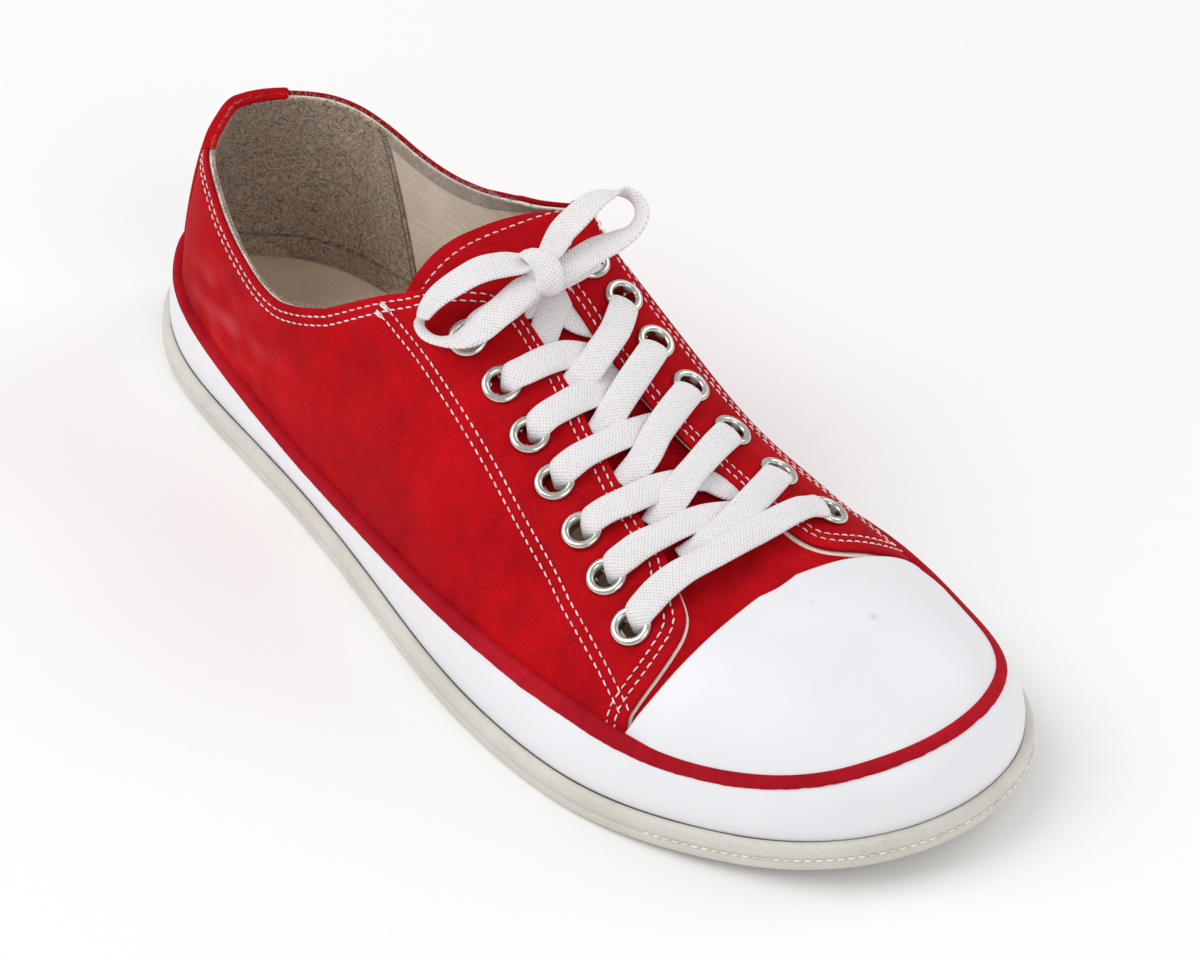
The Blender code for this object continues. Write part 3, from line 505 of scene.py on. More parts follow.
def leaf(name, at, height, outside, thick, depth, material, attributes=None, bump=0.0, holes=None,
         ridge=False):
    """Sheet of leather on the last with a rounded cut edge.

    depth is each point's distance from the cut edge: within half a thickness the outside and the
    inside draw together on a half circle. Elsewhere the sheet runs from outside to outside - thick.
    Quads nearer than a hole's radius to its centre are left out, and every border gets a wall. With
    ridge, the last row folds on itself: each column there meets its mirror column, and has no wall.
    """
    radius = thick / 2.0
    depth = np.broadcast_to(depth, at.shape)
    fall = radius - np.sqrt(np.clip(radius ** 2 - np.clip(radius - depth, 0.0, None) ** 2, 0.0, None))
    top = last_points(at, height, outside - fall + bump)
    bottom = last_points(at, height, outside - thick + fall)
    if ridge:
        for sheet in (top, bottom):
            sheet[-1] = (sheet[-1] + sheet[-1, ::-1]) / 2.0
    rows, columns = at.shape
    count = rows * columns
    quads = np.array(grid_faces(rows, columns))
    if holes is not None:
        middle = top.reshape(-1, 3)[quads].mean(axis=1)
        far = np.linalg.norm(middle[:, None] - holes[0][None], axis=2).min(axis=1)
        quads = quads[far > holes[1]]
    sides = np.vstack([quads[:, [i, (i + 1) % 4]] for i in range(4)])
    keys = np.sort(sides, axis=1)
    keys = keys[:, 0] * count + keys[:, 1]
    _, found, times = np.unique(keys, return_index=True, return_counts=True)
    border = sides[found[times == 1]]
    if ridge:
        border = border[(border < (rows - 1) * columns).any(axis=1)]
    walls = np.column_stack([border[:, 1], border[:, 0], border[:, 0] + count, border[:, 1] + count])
    points = np.vstack([top.reshape(-1, 3), bottom.reshape(-1, 3)])
    faces = quads.tolist() + (quads[:, ::-1] + count).tolist() + walls.tolist()
    cut = np.clip((fall - 0.30 * thick) / (0.15 * thick), 0.0, 1.0)
    named = {"cut": np.concatenate([cut.ravel(), np.ones(count)])}
    for label, values in (attributes or {}).items():
        named[label] = np.concatenate([values.ravel(), values.ravel()])
    return new_mesh(name, points, faces, material, named)


def nearest(points, line):
    """Distance from each point to the nearest point of a line."""
    flat = points.reshape(-1, 3)
    squares = (flat ** 2).sum(1)[:, None] + (line ** 2).sum(1)[None] - 2.0 * flat @ line.T
    return np.sqrt(np.clip(squares.min(axis=1), 0.0, None)).reshape(points.shape[:-1])


# ---- lines on the last, as columns and heights -------------------------------------------------------
def slide(at, height, distance):
    """Line on the last moved to its left by a distance in mm, half a millimetre at a time.

    Each step is taken along the cross product of the surface's normal and the line's tangent, and
    turned into a change of column and height by solving the surface's two slopes for it.
    """
    steps = max(1, int(math.ceil(np.abs(distance).max() / 0.5)))
    pace = np.reshape(distance, (-1, 1)) / steps
    for _ in range(steps):
        here = last_points(at, height)
        tangent = unit(np.gradient(here, axis=0))
        across, upward = slopes(at, height)
        way = np.cross(tangent, unit(np.cross(upward, across))) * pace
        aa, au, uu = (across * across).sum(1), (across * upward).sum(1), (upward * upward).sum(1)
        wa, wu = (way * across).sum(1), (way * upward).sum(1)
        whole = aa * uu - au * au
        at = at + (wa * uu - wu * au) / whole
        height = np.clip(height + (wu * aa - wa * au) / whole, 0.0, 0.999)
    return at, height


def evenly(at, height, spacing):
    """Line on the last with points an even distance apart."""
    length = arc_length(last_points(at, height))
    places = np.linspace(0.0, length[-1], max(2, int(round(length[-1] / spacing)) + 1))
    return np.interp(places, length, at), np.interp(places, length, height)


def on_last(route):
    """Columns and heights of a table of points, as two rows."""
    return np.array(over([p.side for p in route], [p.station for p in route]))


def smooth_line(marks, spacing):
    """Smooth line on the last through rows of columns and heights, its points evenly apart."""
    return evenly(*catmull(marks.T).T, spacing)


def collar_line(number, lateral):
    """Where the last's columns meet the collar."""
    at = column_of(number, lateral)
    side = "lateral_z" if lateral else "medial_z"

    def reached(height):
        here = last_points(at, height)
        return here[:, 2] > smooth(COLLAR, side, here[:, 1])

    return at, halve(reached, len(at), 0.2, 0.99)


def quarter_edge():
    """Cut edge of the quarters: toe cap, throat and collar on the lateral side, heel, and back again.

    Columns fall from the lateral front to 0 at the heel and go on below 0 on the medial side.
    """
    lateral = np.hstack([on_last([Point(-44.0, 223.4)]), on_last(LATERAL_EDGE),
                         collar_line(np.linspace(4.15, 0.0, 20), True)])
    medial = np.hstack([on_last([Point(44.6, 224.2)]), on_last(MEDIAL_EDGE),
                        collar_line(np.linspace(4.85, 0.22, 22), False)])
    medial[0] -= AROUND
    return smooth_line(np.hstack([lateral, medial[:, ::-1]]), 0.9)


def panel_grid(rows, foot, out=0.0):
    """Grid from the quarters' edge, or a line outside it, down to a foot line.

    The first rows are the edge moved inwards to the depths in EDGE_ROWS; the others run straight, in
    column and height, from there to the foot line, whose columns keep pace with the edge and whose
    heights are foot(columns). Returns columns, heights and the distance from the cut edge.
    """
    lines = [slide(*EDGE, -out * np.ones(len(EDGE[0])))]
    for step in np.diff(EDGE_ROWS):
        lines.append(slide(*lines[-1], step))
    lines = np.array(lines)
    last_at, last_height = lines[-1]
    foot_at = np.interp(np.linspace(0.0, 1.0, len(last_at)), *FOOT_PACE)
    share = (np.linspace(0.0, 1.0, rows + 1)[1:, None]) ** 1.25
    at = np.vstack([lines[:, 0], last_at + (foot_at - last_at) * share])
    height = np.vstack([lines[:, 1], last_height + (foot(foot_at) - last_height) * share])
    depth = np.concatenate([EDGE_ROWS, EDGE_ROWS[-1] + 40.0 * share[:, 0]])
    return at, height, np.broadcast_to(depth[:, None], at.shape)


def floor_foot(at):
    """Foot line of the linings, a little above the footbed's underside."""
    return height_at(at, SOLE_RIM + LINING_FOOT + toe_spring(rim(at, UPPER_INSET)[:, 1]))


def foot_pace():
    """Shares of the edge's length and the columns of the foot line that belong to them."""
    at, height = EDGE
    length = arc_length(last_points(at, height))
    length /= length[-1]
    share, number = np.array(FOOT_MARKS).T
    shares = np.concatenate([[0.0], share, [np.interp(0.0, -at, length)], 1.0 - share[::-1], [1.0]])
    columns = np.concatenate([at[:1], column_of(number, True), [0.0],
                              column_of(number[::-1], False) - AROUND, at[-1:]])
    return shares, columns


EDGE = quarter_edge()
FOOT_PACE = foot_pace()


# ---- stitches ----------------------------------------------------------------------------------------
def thread_runs(at, height, outside, length, gap, start=0.0, yaw=0.10):
    """Places of the stitches of one row: middle, tangent, across and outward for each."""
    fine_at, fine_height = evenly(at, height, 0.25)
    here = last_points(fine_at, fine_height, outside)
    normal = last_normals(fine_at, fine_height)
    tangent = unit(np.gradient(here, axis=0))
    total = arc_length(here)[-1]
    places = np.arange(start + length / 2.0, total - length / 2.0, length + gap)
    middle = spread_along(here, here, places)
    way = unit(spread_along(here, tangent, places))
    out = unit(spread_along(here, normal, places))
    across = unit(np.cross(out, way))
    way, across = way + across * yaw, across - way * yaw
    return middle, unit(way), unit(across), out


def stitches(name, rows, length, width, material):
    """Rows of stitches as one piece: short threads, sunk at both ends and domed between them.

    A stitch is six hexagonal sections whose radius and height follow a half wave along it.
    """
    middle, way, across, out = [np.vstack(parts) for parts in zip(*rows)]
    rng = np.random.default_rng(11)
    count = len(middle)
    along = np.array([-0.5, -0.44, -0.2, 0.2, 0.44, 0.5])
    dome = np.cos(along * math.pi) ** 0.6
    radius = width / 2.0 * np.array([0.25, 0.72, 1.0, 1.0, 0.72, 0.25])
    turn = turns(6)
    stretch = length * rng.uniform(0.90, 1.06, (count, 1, 1, 1))
    x = along[None, :, None, None] * stretch
    y = (radius[:, None] * np.cos(turn))[None, :, :, None]
    z = ((radius[:, None] * np.sin(turn)) * 0.8 + (dome[:, None] * 0.24 - 0.14))[None, :, :, None]
    points = (middle[:, None, None] + way[:, None, None] * x + across[:, None, None] * y
              + out[:, None, None] * z)
    size = len(along) * len(turn)
    faces = copies(grid_faces(len(along), len(turn), False, True), count, size)
    faces += copies([range(5, -1, -1), range(size - 6, size)], count, size)
    tone = np.repeat(rng.uniform(0.0, 1.0, count), size)
    return new_mesh(name, points.reshape(-1, 3), faces, material, {"tone": tone})


def without_loops(at, height, depth):
    """Inner offset line with the stretches removed that came closer to the edge than its depth."""
    keep = nearest(last_points(at, height), last_points(*EDGE)) > depth * 0.93
    return at[keep], height[keep]


def front_share():
    """1 along the quarters' curved front edges and 0 elsewhere, for each point of the edge."""
    return ease((last_points(*EDGE)[:, 1] - 200.0) / 16.0)


def edge_row(depth, at_front):
    """Line at a depth from the quarters' cut edge, deeper along their fronts."""
    depths = depth + (at_front - depth) * front_share()
    at, height = slide(*EDGE, depths)
    at, height = without_loops(at, height, depths)
    return evenly(at, height, 0.5)


# ---- lace --------------------------------------------------------------------------------------------
def lace_strip(name, centre, facing, curl, width, thick, material, twist=0.0, start=0.0, puff=0.0):
    """Flat lace along a line of points; curl, width, twist and puff are numbers, or one for each point.

    Its section is a flat oval bent to an arc: across is a share s of the half width from -1 to 1, an
    angle curl * s bends it away from the facing side, and the thickness follows a fourth-power oval.
    weave holds the distance along and across the lace in mm.
    """
    tangent = unit(np.gradient(centre, axis=0))
    normal = unit(facing - (facing * tangent).sum(1, keepdims=True) * tangent)
    across = np.cross(tangent, normal)
    curl, width, twist, puff = [np.reshape(v, (-1, 1)) for v in (curl, width, twist, puff)]
    across, normal = (across * np.cos(twist) + normal * np.sin(twist),
                      normal * np.cos(twist) - across * np.sin(twist))
    angle = turns(20)
    s = softened(np.cos(angle), 0.75)
    rise = softened(np.sin(angle), 0.6)
    half = width / 2.0
    bend = np.where(np.abs(curl) < 0.02, 0.02, curl)
    turned = bend * s
    body = thick / 2.0 * rise * (1.0 + puff)
    x = half * np.sin(turned) / bend + body * np.sin(turned)
    z = -half * (1.0 - np.cos(turned)) / bend + body * np.cos(turned)
    rings = centre[:, None] + across[:, None] * x[..., None] + normal[:, None] * z[..., None]
    weave = np.zeros(rings.shape)
    weave[..., 0] = (arc_length(centre) + start)[:, None]
    weave[..., 1] = half * s
    weave[..., 2] = np.sign(rise)
    return tube(name, rings, material, {"weave": weave})


Via = namedtuple("Via", "side station lift")
# strands that end in a medial or a lateral eyelet: points over the last, from the hidden end
MEDIAL_STRANDS = {
    2: rows_of(Via, [(-2.0, 157.5, -1.4), (1.4, 156.6, -0.3), (5.6, 155.6, 1.5), (10.9, 153.8, 2.4),
        (17.0, 151.6, 2.6), (21.9, 148.6, 2.5)]),
    3: rows_of(Via, [(-3.5, 169.3, -1.4), (-0.2, 168.3, -0.3), (5.0, 166.1, 1.8), (11.7, 163.6, 2.4),
        (17.6, 161.2, 2.5), (21.6, 159.4, 2.4)]),
    4: rows_of(Via, [(-7.5, 182.2, -1.4), (-4.4, 181.7, -0.3), (0.6, 180.5, 1.8), (7.5, 177.1, 2.4),
        (16.5, 173.6, 2.4), (21.6, 171.5, 2.4)]),
    5: rows_of(Via, [(-9.4, 194.9, -1.4), (-6.2, 194.2, -0.3), (-1.2, 192.8, 1.8), (6.0, 190.2, 2.4),
        (15.7, 187.1, 2.4), (22.0, 184.9, 2.3)]),
    6: rows_of(Via, [(-10.6, 206.0, -1.4), (-7.6, 206.6, -0.4), (-3.9, 207.1, 1.6),
        (2.0, 206.2, 2.4), (12.5, 203.9, 2.4), (23.0, 199.9, 2.3)]),
}
LATERAL_STRANDS = {
    2: rows_of(Via, [(14.0, 154.4, -1.3), (9.0, 152.6, -0.4), (3.4, 150.2, 1.0), (-2.5, 149.4, 2.0),
        (-8.1, 148.7, 2.3)]),
    3: rows_of(Via, [(15.0, 159.2, -1.4), (9.6, 160.0, -1.0), (3.6, 160.5, 0.4), (-2.7, 160.3, 1.6),
        (-9.5, 159.9, 2.3)]),
    4: rows_of(Via, [(14.2, 174.8, -1.4), (8.7, 173.9, -0.5), (2.9, 173.3, 0.9), (-3.3, 173.0, 1.8),
        (-10.4, 172.2, 2.4)]),
    5: rows_of(Via, [(16.4, 199.6, -1.4), (12.8, 196.0, -1.2), (9.4, 192.0, -0.5), (4.5, 190.1, 0.5),
        (-3.4, 188.5, 1.6), (-10.9, 187.6, 2.3), (-15.6, 186.2, 2.2)]),
    6: rows_of(Via, [(18.6, 206.6, -1.4), (13.6, 205.4, -1.1), (7.6, 203.0, -0.3), (0.7, 200.6, 0.8),
        (-7.7, 199.5, 1.7), (-15.5, 198.4, 2.3), (-20.0, 197.9, 2.2)]),
}
BAR = rows_of(Via, [
    (24.6, 211.2, 2.2), (20.9, 210.9, 2.6), (12.2, 211.6, 2.9), (3.5, 211.7, 3.2), (-5.9, 211.6, 3.3),
    (-13.8, 210.3, 3.1), (-20.4, 209.8, 2.8), (-24.6, 209.8, 2.4),
])
TOP_STRANDS = [
    rows_of(Via, [(18.6, 135.6, -0.9), (14.4, 137.2, -0.7), (10.1, 139.4, -0.7), (5.5, 142.0, -0.8),
        (1.6, 144.6, -1.3), (-3.0, 147.0, -1.5)]),
    rows_of(Via, [(4.0, 135.4, -1.3), (8.2, 137.6, -1.4), (11.3, 140.8, -1.5), (13.3, 144.5, -1.6),
        (16.3, 147.6, -1.6)]),
]


def eyelet_dive(side, station, start):
    """Last stretch of a lace into an eyelet: over the near rim, and down the hole."""
    away = np.array(start) - np.array([side, station])
    away /= np.linalg.norm(away)
    steps = [(3.3, 2.3), (1.9, 1.7), (0.9, 0.2), (0.5, -1.6), (0.3, -3.4)]
    return [Via(side + away[0] * d, station + away[1] * d, lift) for d, lift in steps]


def surface_line(route, spacing=0.45):
    """Smooth line through points over the last, its outward directions, and its length."""
    side, station, lift = np.array([tuple(v) for v in route], float).T
    here = above(side, station, lift)
    fine = catmull(here)
    out = catmull(last_normals(*over(side, station)))
    length = arc_length(fine)
    places = np.linspace(0.0, length[-1], max(8, int(round(length[-1] / spacing))))
    return spread_along(fine, fine, places), unit(spread_along(fine, out, places)), places


# ---- finishes ----------------------------------------------------------------------------------------
def linear(colour):
    """Linear colour with alpha from an sRGB hex code; a grey or a linear colour is only filled up."""
    if isinstance(colour, str):
        values = [int(colour[i:i + 2], 16) / 255.0 for i in (1, 3, 5)]
        colour = [v / 12.92 if v <= 0.04045 else ((v + 0.055) / 1.055) ** 2.4 for v in values]
    elif isinstance(colour, float):
        colour = [colour] * 3
    return (*colour, 1.0)


def add(tree, kind, inputs=None, stops=None, **settings):
    """Node with its settings; inputs are numbers, colours or sockets, stops the colours of a ramp."""
    node = tree.nodes.new(kind)
    for label, value in settings.items():
        setattr(node, label, value)
    for label, value in (inputs or {}).items():
        if isinstance(value, bpy.types.NodeSocket):
            tree.links.new(value, node.inputs[label])
        else:
            node.inputs[label].default_value = value
    if stops:
        while len(node.color_ramp.elements) < len(stops):
            node.color_ramp.elements.new(0.5)
        for element, (place, colour) in zip(node.color_ramp.elements, stops):
            element.position = place
            element.color = linear(colour)
    return node


def start_material(name, **sockets):
    """Material whose shader has the given constants set on its own sockets."""
    material = bpy.data.materials.new(name)
    material.use_nodes = True
    shader = material.node_tree.nodes["Principled BSDF"]
    for label, value in sockets.items():
        shader.inputs[label.replace("_", " ")].default_value = value
    return material, material.node_tree, shader


def per_mm(size):
    """Noise scale, on coordinates in metres, for marks of a size in mm."""
    return 1.0 / (size * MM)


def nubuck(name, light, deep, cut_edge):
    """Sanded full-grain leather: matt, with a short nap, cloudy patches and darker pores.

    The nap makes broad soft clouds, finer smudges where it lies another way, and a faint sheen at the
    turn of the shape; its raw cut edge and underside are the undyed hide.
    """
    material, tree, shader = start_material(name, IOR=1.45, Sheen_Weight=0.05, Sheen_Roughness=0.45,
                                            Sheen_Tint=linear("#FF6A62"), Specular_IOR_Level=0.08)
    place = add(tree, "ShaderNodeTexCoord").outputs["Object"]
    cloud = add(tree, "ShaderNodeTexNoise", {"Vector": place, "Scale": per_mm(34), "Detail": 4.0,
                                             "Roughness": 0.62, "Distortion": 0.4}).outputs["Fac"]
    smudge = add(tree, "ShaderNodeTexNoise", {"Vector": place, "Scale": per_mm(5.5), "Detail": 5.0,
                                              "Roughness": 0.66}).outputs["Fac"]
    pores = add(tree, "ShaderNodeTexNoise", {"Vector": place, "Scale": per_mm(0.9), "Detail": 3.0,
                                             "Roughness": 0.7}).outputs["Fac"]
    broad = add(tree, "ShaderNodeValToRGB", {"Fac": cloud}, [(0.34, deep), (0.66, light)])
    fine = add(tree, "ShaderNodeValToRGB", {"Fac": smudge}, [(0.30, 0.84), (0.72, 1.12)])
    dust = add(tree, "ShaderNodeValToRGB", {"Fac": pores}, [(0.28, 0.86), (0.62, 1.06)])
    tone = add(tree, "ShaderNodeMix", {0: 1.0, 6: broad.outputs["Color"], 7: fine.outputs["Color"]},
               data_type="RGBA", blend_type="MULTIPLY")
    tone = add(tree, "ShaderNodeMix", {0: 1.0, 6: tone.outputs[2], 7: dust.outputs["Color"]},
               data_type="RGBA", blend_type="MULTIPLY")
    rub = add(tree, "ShaderNodeAttribute", attribute_name="rub").outputs["Fac"]
    rubbed = add(tree, "ShaderNodeMix", {0: rub, 6: tone.outputs[2], 7: linear("#D8575C")},
                 data_type="RGBA")
    cut = add(tree, "ShaderNodeAttribute", attribute_name="cut").outputs["Fac"]
    whole = add(tree, "ShaderNodeMix", {0: cut, 6: rubbed.outputs[2], 7: linear(cut_edge)},
                data_type="RGBA")
    tree.links.new(whole.outputs[2], shader.inputs["Base Color"])
    rough = add(tree, "ShaderNodeMapRange", {"Value": smudge, "To Min": 0.74, "To Max": 0.94})
    tree.links.new(rough.outputs["Result"], shader.inputs["Roughness"])
    height = add(tree, "ShaderNodeMath", {0: pores, 1: 0.55}, operation="MULTIPLY")
    height = add(tree, "ShaderNodeMath", {0: smudge, 1: 0.9, 2: height.outputs[0]},
                 operation="MULTIPLY_ADD")
    bump = add(tree, "ShaderNodeBump", {"Height": height.outputs[0], "Strength": 0.45,
                                        "Distance": 0.35 * MM})
    tree.links.new(bump.outputs["Normal"], shader.inputs["Normal"])
    return material


def coated_leather(name, colour, warm):
    """Corrected-grain leather with a white pigment coat: smooth, softly glossy, almost no grain."""
    material, tree, shader = start_material(name, IOR=1.5, Coat_Weight=0.12, Coat_Roughness=0.3)
    place = add(tree, "ShaderNodeTexCoord").outputs["Object"]
    cloud = add(tree, "ShaderNodeTexNoise", {"Vector": place, "Scale": per_mm(40), "Detail": 3.0})
    grain = add(tree, "ShaderNodeTexVoronoi", {"Vector": place, "Scale": per_mm(0.8)},
                feature="SMOOTH_F1")
    shade = add(tree, "ShaderNodeValToRGB", {"Fac": cloud.outputs["Fac"]},
                [(0.35, warm), (0.6, colour)])
    scuff = add(tree, "ShaderNodeAttribute", attribute_name="scuff").outputs["Fac"]
    marked = add(tree, "ShaderNodeMix", {0: scuff, 6: shade.outputs["Color"], 7: linear("#B9BDC2")},
                 data_type="RGBA")
    tree.links.new(marked.outputs[2], shader.inputs["Base Color"])
    rough = add(tree, "ShaderNodeMapRange", {"Value": cloud.outputs["Fac"], "To Min": 0.34,
                                             "To Max": 0.5})
    tree.links.new(rough.outputs["Result"], shader.inputs["Roughness"])
    bump = add(tree, "ShaderNodeBump", {"Height": grain.outputs["Distance"], "Strength": 0.06,
                                        "Distance": 0.12 * MM})
    tree.links.new(bump.outputs["Normal"], shader.inputs["Normal"])
    return material


def moulded_rubber(name, colour, dull):
    """Moulded natural rubber: waxy, slightly see-through at the rim, with dust in its tiny pits."""
    material, tree, shader = start_material(name, IOR=1.52, Subsurface_Weight=0.08,
                                            Subsurface_Radius=(1.0, 0.8, 0.6),
                                            Subsurface_Scale=1.5 * MM)
    place = add(tree, "ShaderNodeTexCoord").outputs["Object"]
    cloud = add(tree, "ShaderNodeTexNoise", {"Vector": place, "Scale": per_mm(18), "Detail": 5.0,
                                             "Roughness": 0.6})
    pits = add(tree, "ShaderNodeTexNoise", {"Vector": place, "Scale": per_mm(1.1), "Detail": 2.0})
    shade = add(tree, "ShaderNodeValToRGB", {"Fac": cloud.outputs["Fac"]},
                [(0.32, dull), (0.62, colour)])
    speck = add(tree, "ShaderNodeValToRGB", {"Fac": pits.outputs["Fac"]}, [(0.26, 0.86), (0.38, 1.0)])
    whole = add(tree, "ShaderNodeMix", {0: 1.0, 6: shade.outputs["Color"], 7: speck.outputs["Color"]},
                data_type="RGBA", blend_type="MULTIPLY")
    tree.links.new(whole.outputs[2], shader.inputs["Base Color"])
    rough = add(tree, "ShaderNodeMapRange", {"Value": cloud.outputs["Fac"], "To Min": 0.48,
                                             "To Max": 0.68})
    tree.links.new(rough.outputs["Result"], shader.inputs["Roughness"])
    bump = add(tree, "ShaderNodeBump", {"Height": pits.outputs["Fac"], "Strength": 0.25,
                                        "Distance": 0.2 * MM})
    tree.links.new(bump.outputs["Normal"], shader.inputs["Normal"])
    return material


def pigskin(name, colour, deep):
    """Smooth vegetable-tanned lining leather: dry, even, with faint wrinkles and scattered pores."""
    material, tree, shader = start_material(name, IOR=1.45, Specular_IOR_Level=0.3, Roughness=0.68)
    place = add(tree, "ShaderNodeTexCoord").outputs["Object"]
    cloud = add(tree, "ShaderNodeTexNoise", {"Vector": place, "Scale": per_mm(16), "Detail": 5.0,
                                             "Roughness": 0.6})
    stretch = add(tree, "ShaderNodeMapping", {"Vector": place, "Scale": (1.0, 0.35, 2.6),
                                              "Rotation": (0.5, 0.0, 0.3)})
    creases = add(tree, "ShaderNodeTexNoise", {"Vector": stretch.outputs["Vector"], "Scale": per_mm(5),
                                               "Detail": 4.0, "Distortion": 0.6})
    pores = add(tree, "ShaderNodeTexNoise", {"Vector": place, "Scale": per_mm(0.8), "Detail": 2.0})
    shade = add(tree, "ShaderNodeValToRGB", {"Fac": cloud.outputs["Fac"]},
                [(0.30, deep), (0.62, colour)])
    fine = add(tree, "ShaderNodeValToRGB", {"Fac": pores.outputs["Fac"]}, [(0.30, 0.90), (0.55, 1.0)])
    whole = add(tree, "ShaderNodeMix", {0: 1.0, 6: shade.outputs["Color"], 7: fine.outputs["Color"]},
                data_type="RGBA", blend_type="MULTIPLY")
    tree.links.new(whole.outputs[2], shader.inputs["Base Color"])
    bump = add(tree, "ShaderNodeBump", {"Height": creases.outputs["Fac"], "Strength": 0.5,
                                        "Distance": 0.5 * MM})
    bump = add(tree, "ShaderNodeBump", {"Height": pores.outputs["Fac"], "Strength": 0.3,
                                        "Distance": 0.15 * MM, "Normal": bump.outputs["Normal"]})
    tree.links.new(bump.outputs["Normal"], shader.inputs["Normal"])
    return material


def split_suede(name, light, mid, deep):
    """Coarse split suede: a tangle of pale and dark fibres about two millimetres long, matt."""
    material, tree, shader = start_material(name, IOR=1.45, Specular_IOR_Level=0.15, Roughness=0.95,
                                            Sheen_Weight=0.3, Sheen_Roughness=0.6)
    place = add(tree, "ShaderNodeTexCoord").outputs["Object"]
    cloud = add(tree, "ShaderNodeTexNoise", {"Vector": place, "Scale": per_mm(14), "Detail": 4.0})
    tangle = add(tree, "ShaderNodeTexNoise", {"Vector": place, "Scale": per_mm(2.0), "Detail": 6.0,
                                              "Roughness": 0.78, "Distortion": 2.6})
    shade = add(tree, "ShaderNodeValToRGB", {"Fac": tangle.outputs["Fac"]},
                [(0.41, deep), (0.5, mid), (0.59, light)])
    broad = add(tree, "ShaderNodeValToRGB", {"Fac": cloud.outputs["Fac"]}, [(0.3, 0.84), (0.65, 1.0)])
    whole = add(tree, "ShaderNodeMix", {0: 1.0, 6: shade.outputs["Color"], 7: broad.outputs["Color"]},
                data_type="RGBA", blend_type="MULTIPLY")
    # the "dark" attribute darkens the colour towards #3A2C24: a painted shadow line under the heel
    # lining's fold, and its real dark stitching by the edges
    dark = add(tree, "ShaderNodeAttribute", attribute_name="dark")
    whole = add(tree, "ShaderNodeMix", {0: dark.outputs["Fac"], 6: whole.outputs[2],
                                        7: linear("#3A2C24")}, data_type="RGBA")
    tree.links.new(whole.outputs[2], shader.inputs["Base Color"])
    bump = add(tree, "ShaderNodeBump", {"Height": tangle.outputs["Fac"], "Strength": 1.0,
                                        "Distance": 1.4 * MM})
    tree.links.new(bump.outputs["Normal"], shader.inputs["Normal"])
    return material


def cotton_weave(name, colour, gap_colour):
    """Flat woven cotton: plump yarns cross in a herringbone, matt, with small dark gaps between them.

    The yarn pitch is drawn at 0.95 mm, about twice the real one, so that it shows. Yarns of one way
    are |sin(pi (along + 0.8 |across|) / pitch)|, the others have a minus; their product is the cloth.
    """
    pitch = 0.95
    material, tree, shader = start_material(name, IOR=1.47, Specular_IOR_Level=0.2, Roughness=0.9,
                                            Sheen_Weight=0.25, Sheen_Roughness=0.5)
    weave = add(tree, "ShaderNodeAttribute", attribute_name="weave").outputs["Vector"]
    split = add(tree, "ShaderNodeSeparateXYZ", {"Vector": weave})
    across = add(tree, "ShaderNodeMath", {0: split.outputs["Y"]}, operation="ABSOLUTE")
    ways = []
    for slant in (0.8, -0.8):
        run = add(tree, "ShaderNodeMath", {0: across.outputs[0], 1: slant, 2: split.outputs["X"]},
                  operation="MULTIPLY_ADD")
        wave = add(tree, "ShaderNodeMath", {0: run.outputs[0], 1: math.pi / pitch},
                   operation="MULTIPLY")
        wave = add(tree, "ShaderNodeMath", {0: wave.outputs[0]}, operation="SINE")
        wave = add(tree, "ShaderNodeMath", {0: wave.outputs[0]}, operation="ABSOLUTE")
        ways.append(wave.outputs[0])
    yarn = add(tree, "ShaderNodeMath", {0: ways[0], 1: ways[1]}, operation="MULTIPLY")
    fluff = add(tree, "ShaderNodeTexNoise", {"Vector": weave, "Scale": 1.6, "Detail": 3.0})
    height = add(tree, "ShaderNodeMath", {0: fluff.outputs["Fac"], 1: 0.5, 2: yarn.outputs[0]},
                 operation="MULTIPLY_ADD")
    shade = add(tree, "ShaderNodeValToRGB", {"Fac": height.outputs[0]},
                [(0.14, gap_colour), (0.46, colour)])
    tree.links.new(shade.outputs["Color"], shader.inputs["Base Color"])
    bump = add(tree, "ShaderNodeBump", {"Height": height.outputs[0], "Strength": 0.5,
                                        "Distance": 0.3 * MM})
    tree.links.new(bump.outputs["Normal"], shader.inputs["Normal"])
    return material


def polyester_thread(name, colour, shaded):
    """Twisted polyester sewing thread: bright, slightly glossy, each stitch a little different."""
    material, tree, shader = start_material(name, IOR=1.5, Roughness=0.55, Sheen_Weight=0.1)
    tone = add(tree, "ShaderNodeAttribute", attribute_name="tone").outputs["Fac"]
    shade = add(tree, "ShaderNodeValToRGB", {"Fac": tone}, [(0.0, shaded), (0.6, colour)])
    tree.links.new(shade.outputs["Color"], shader.inputs["Base Color"])
    place = add(tree, "ShaderNodeTexCoord").outputs["Object"]
    strands = add(tree, "ShaderNodeTexNoise", {"Vector": place, "Scale": per_mm(0.5)})
    bump = add(tree, "ShaderNodeBump", {"Height": strands.outputs["Fac"], "Strength": 0.3,
                                        "Distance": 0.1 * MM})
    tree.links.new(bump.outputs["Normal"], shader.inputs["Normal"])
    return material


def nickel_plate(name, colour):
    """Nickel-plated brass, tumbled: warm silver with soft reflections and faint handling marks."""
    material, tree, shader = start_material(name, Metallic=1.0)
    place = add(tree, "ShaderNodeTexCoord").outputs["Object"]
    marks = add(tree, "ShaderNodeTexNoise", {"Vector": place, "Scale": per_mm(2.2), "Detail": 5.0,
                                             "Roughness": 0.7})
    shade = add(tree, "ShaderNodeValToRGB", {"Fac": marks.outputs["Fac"]},
                [(0.30, "#BDBAB2"), (0.55, colour)])
    tree.links.new(shade.outputs["Color"], shader.inputs["Base Color"])
    rough = add(tree, "ShaderNodeMapRange", {"Value": marks.outputs["Fac"], "To Min": 0.12,
                                             "To Max": 0.24})
    tree.links.new(rough.outputs["Result"], shader.inputs["Roughness"])
    return material


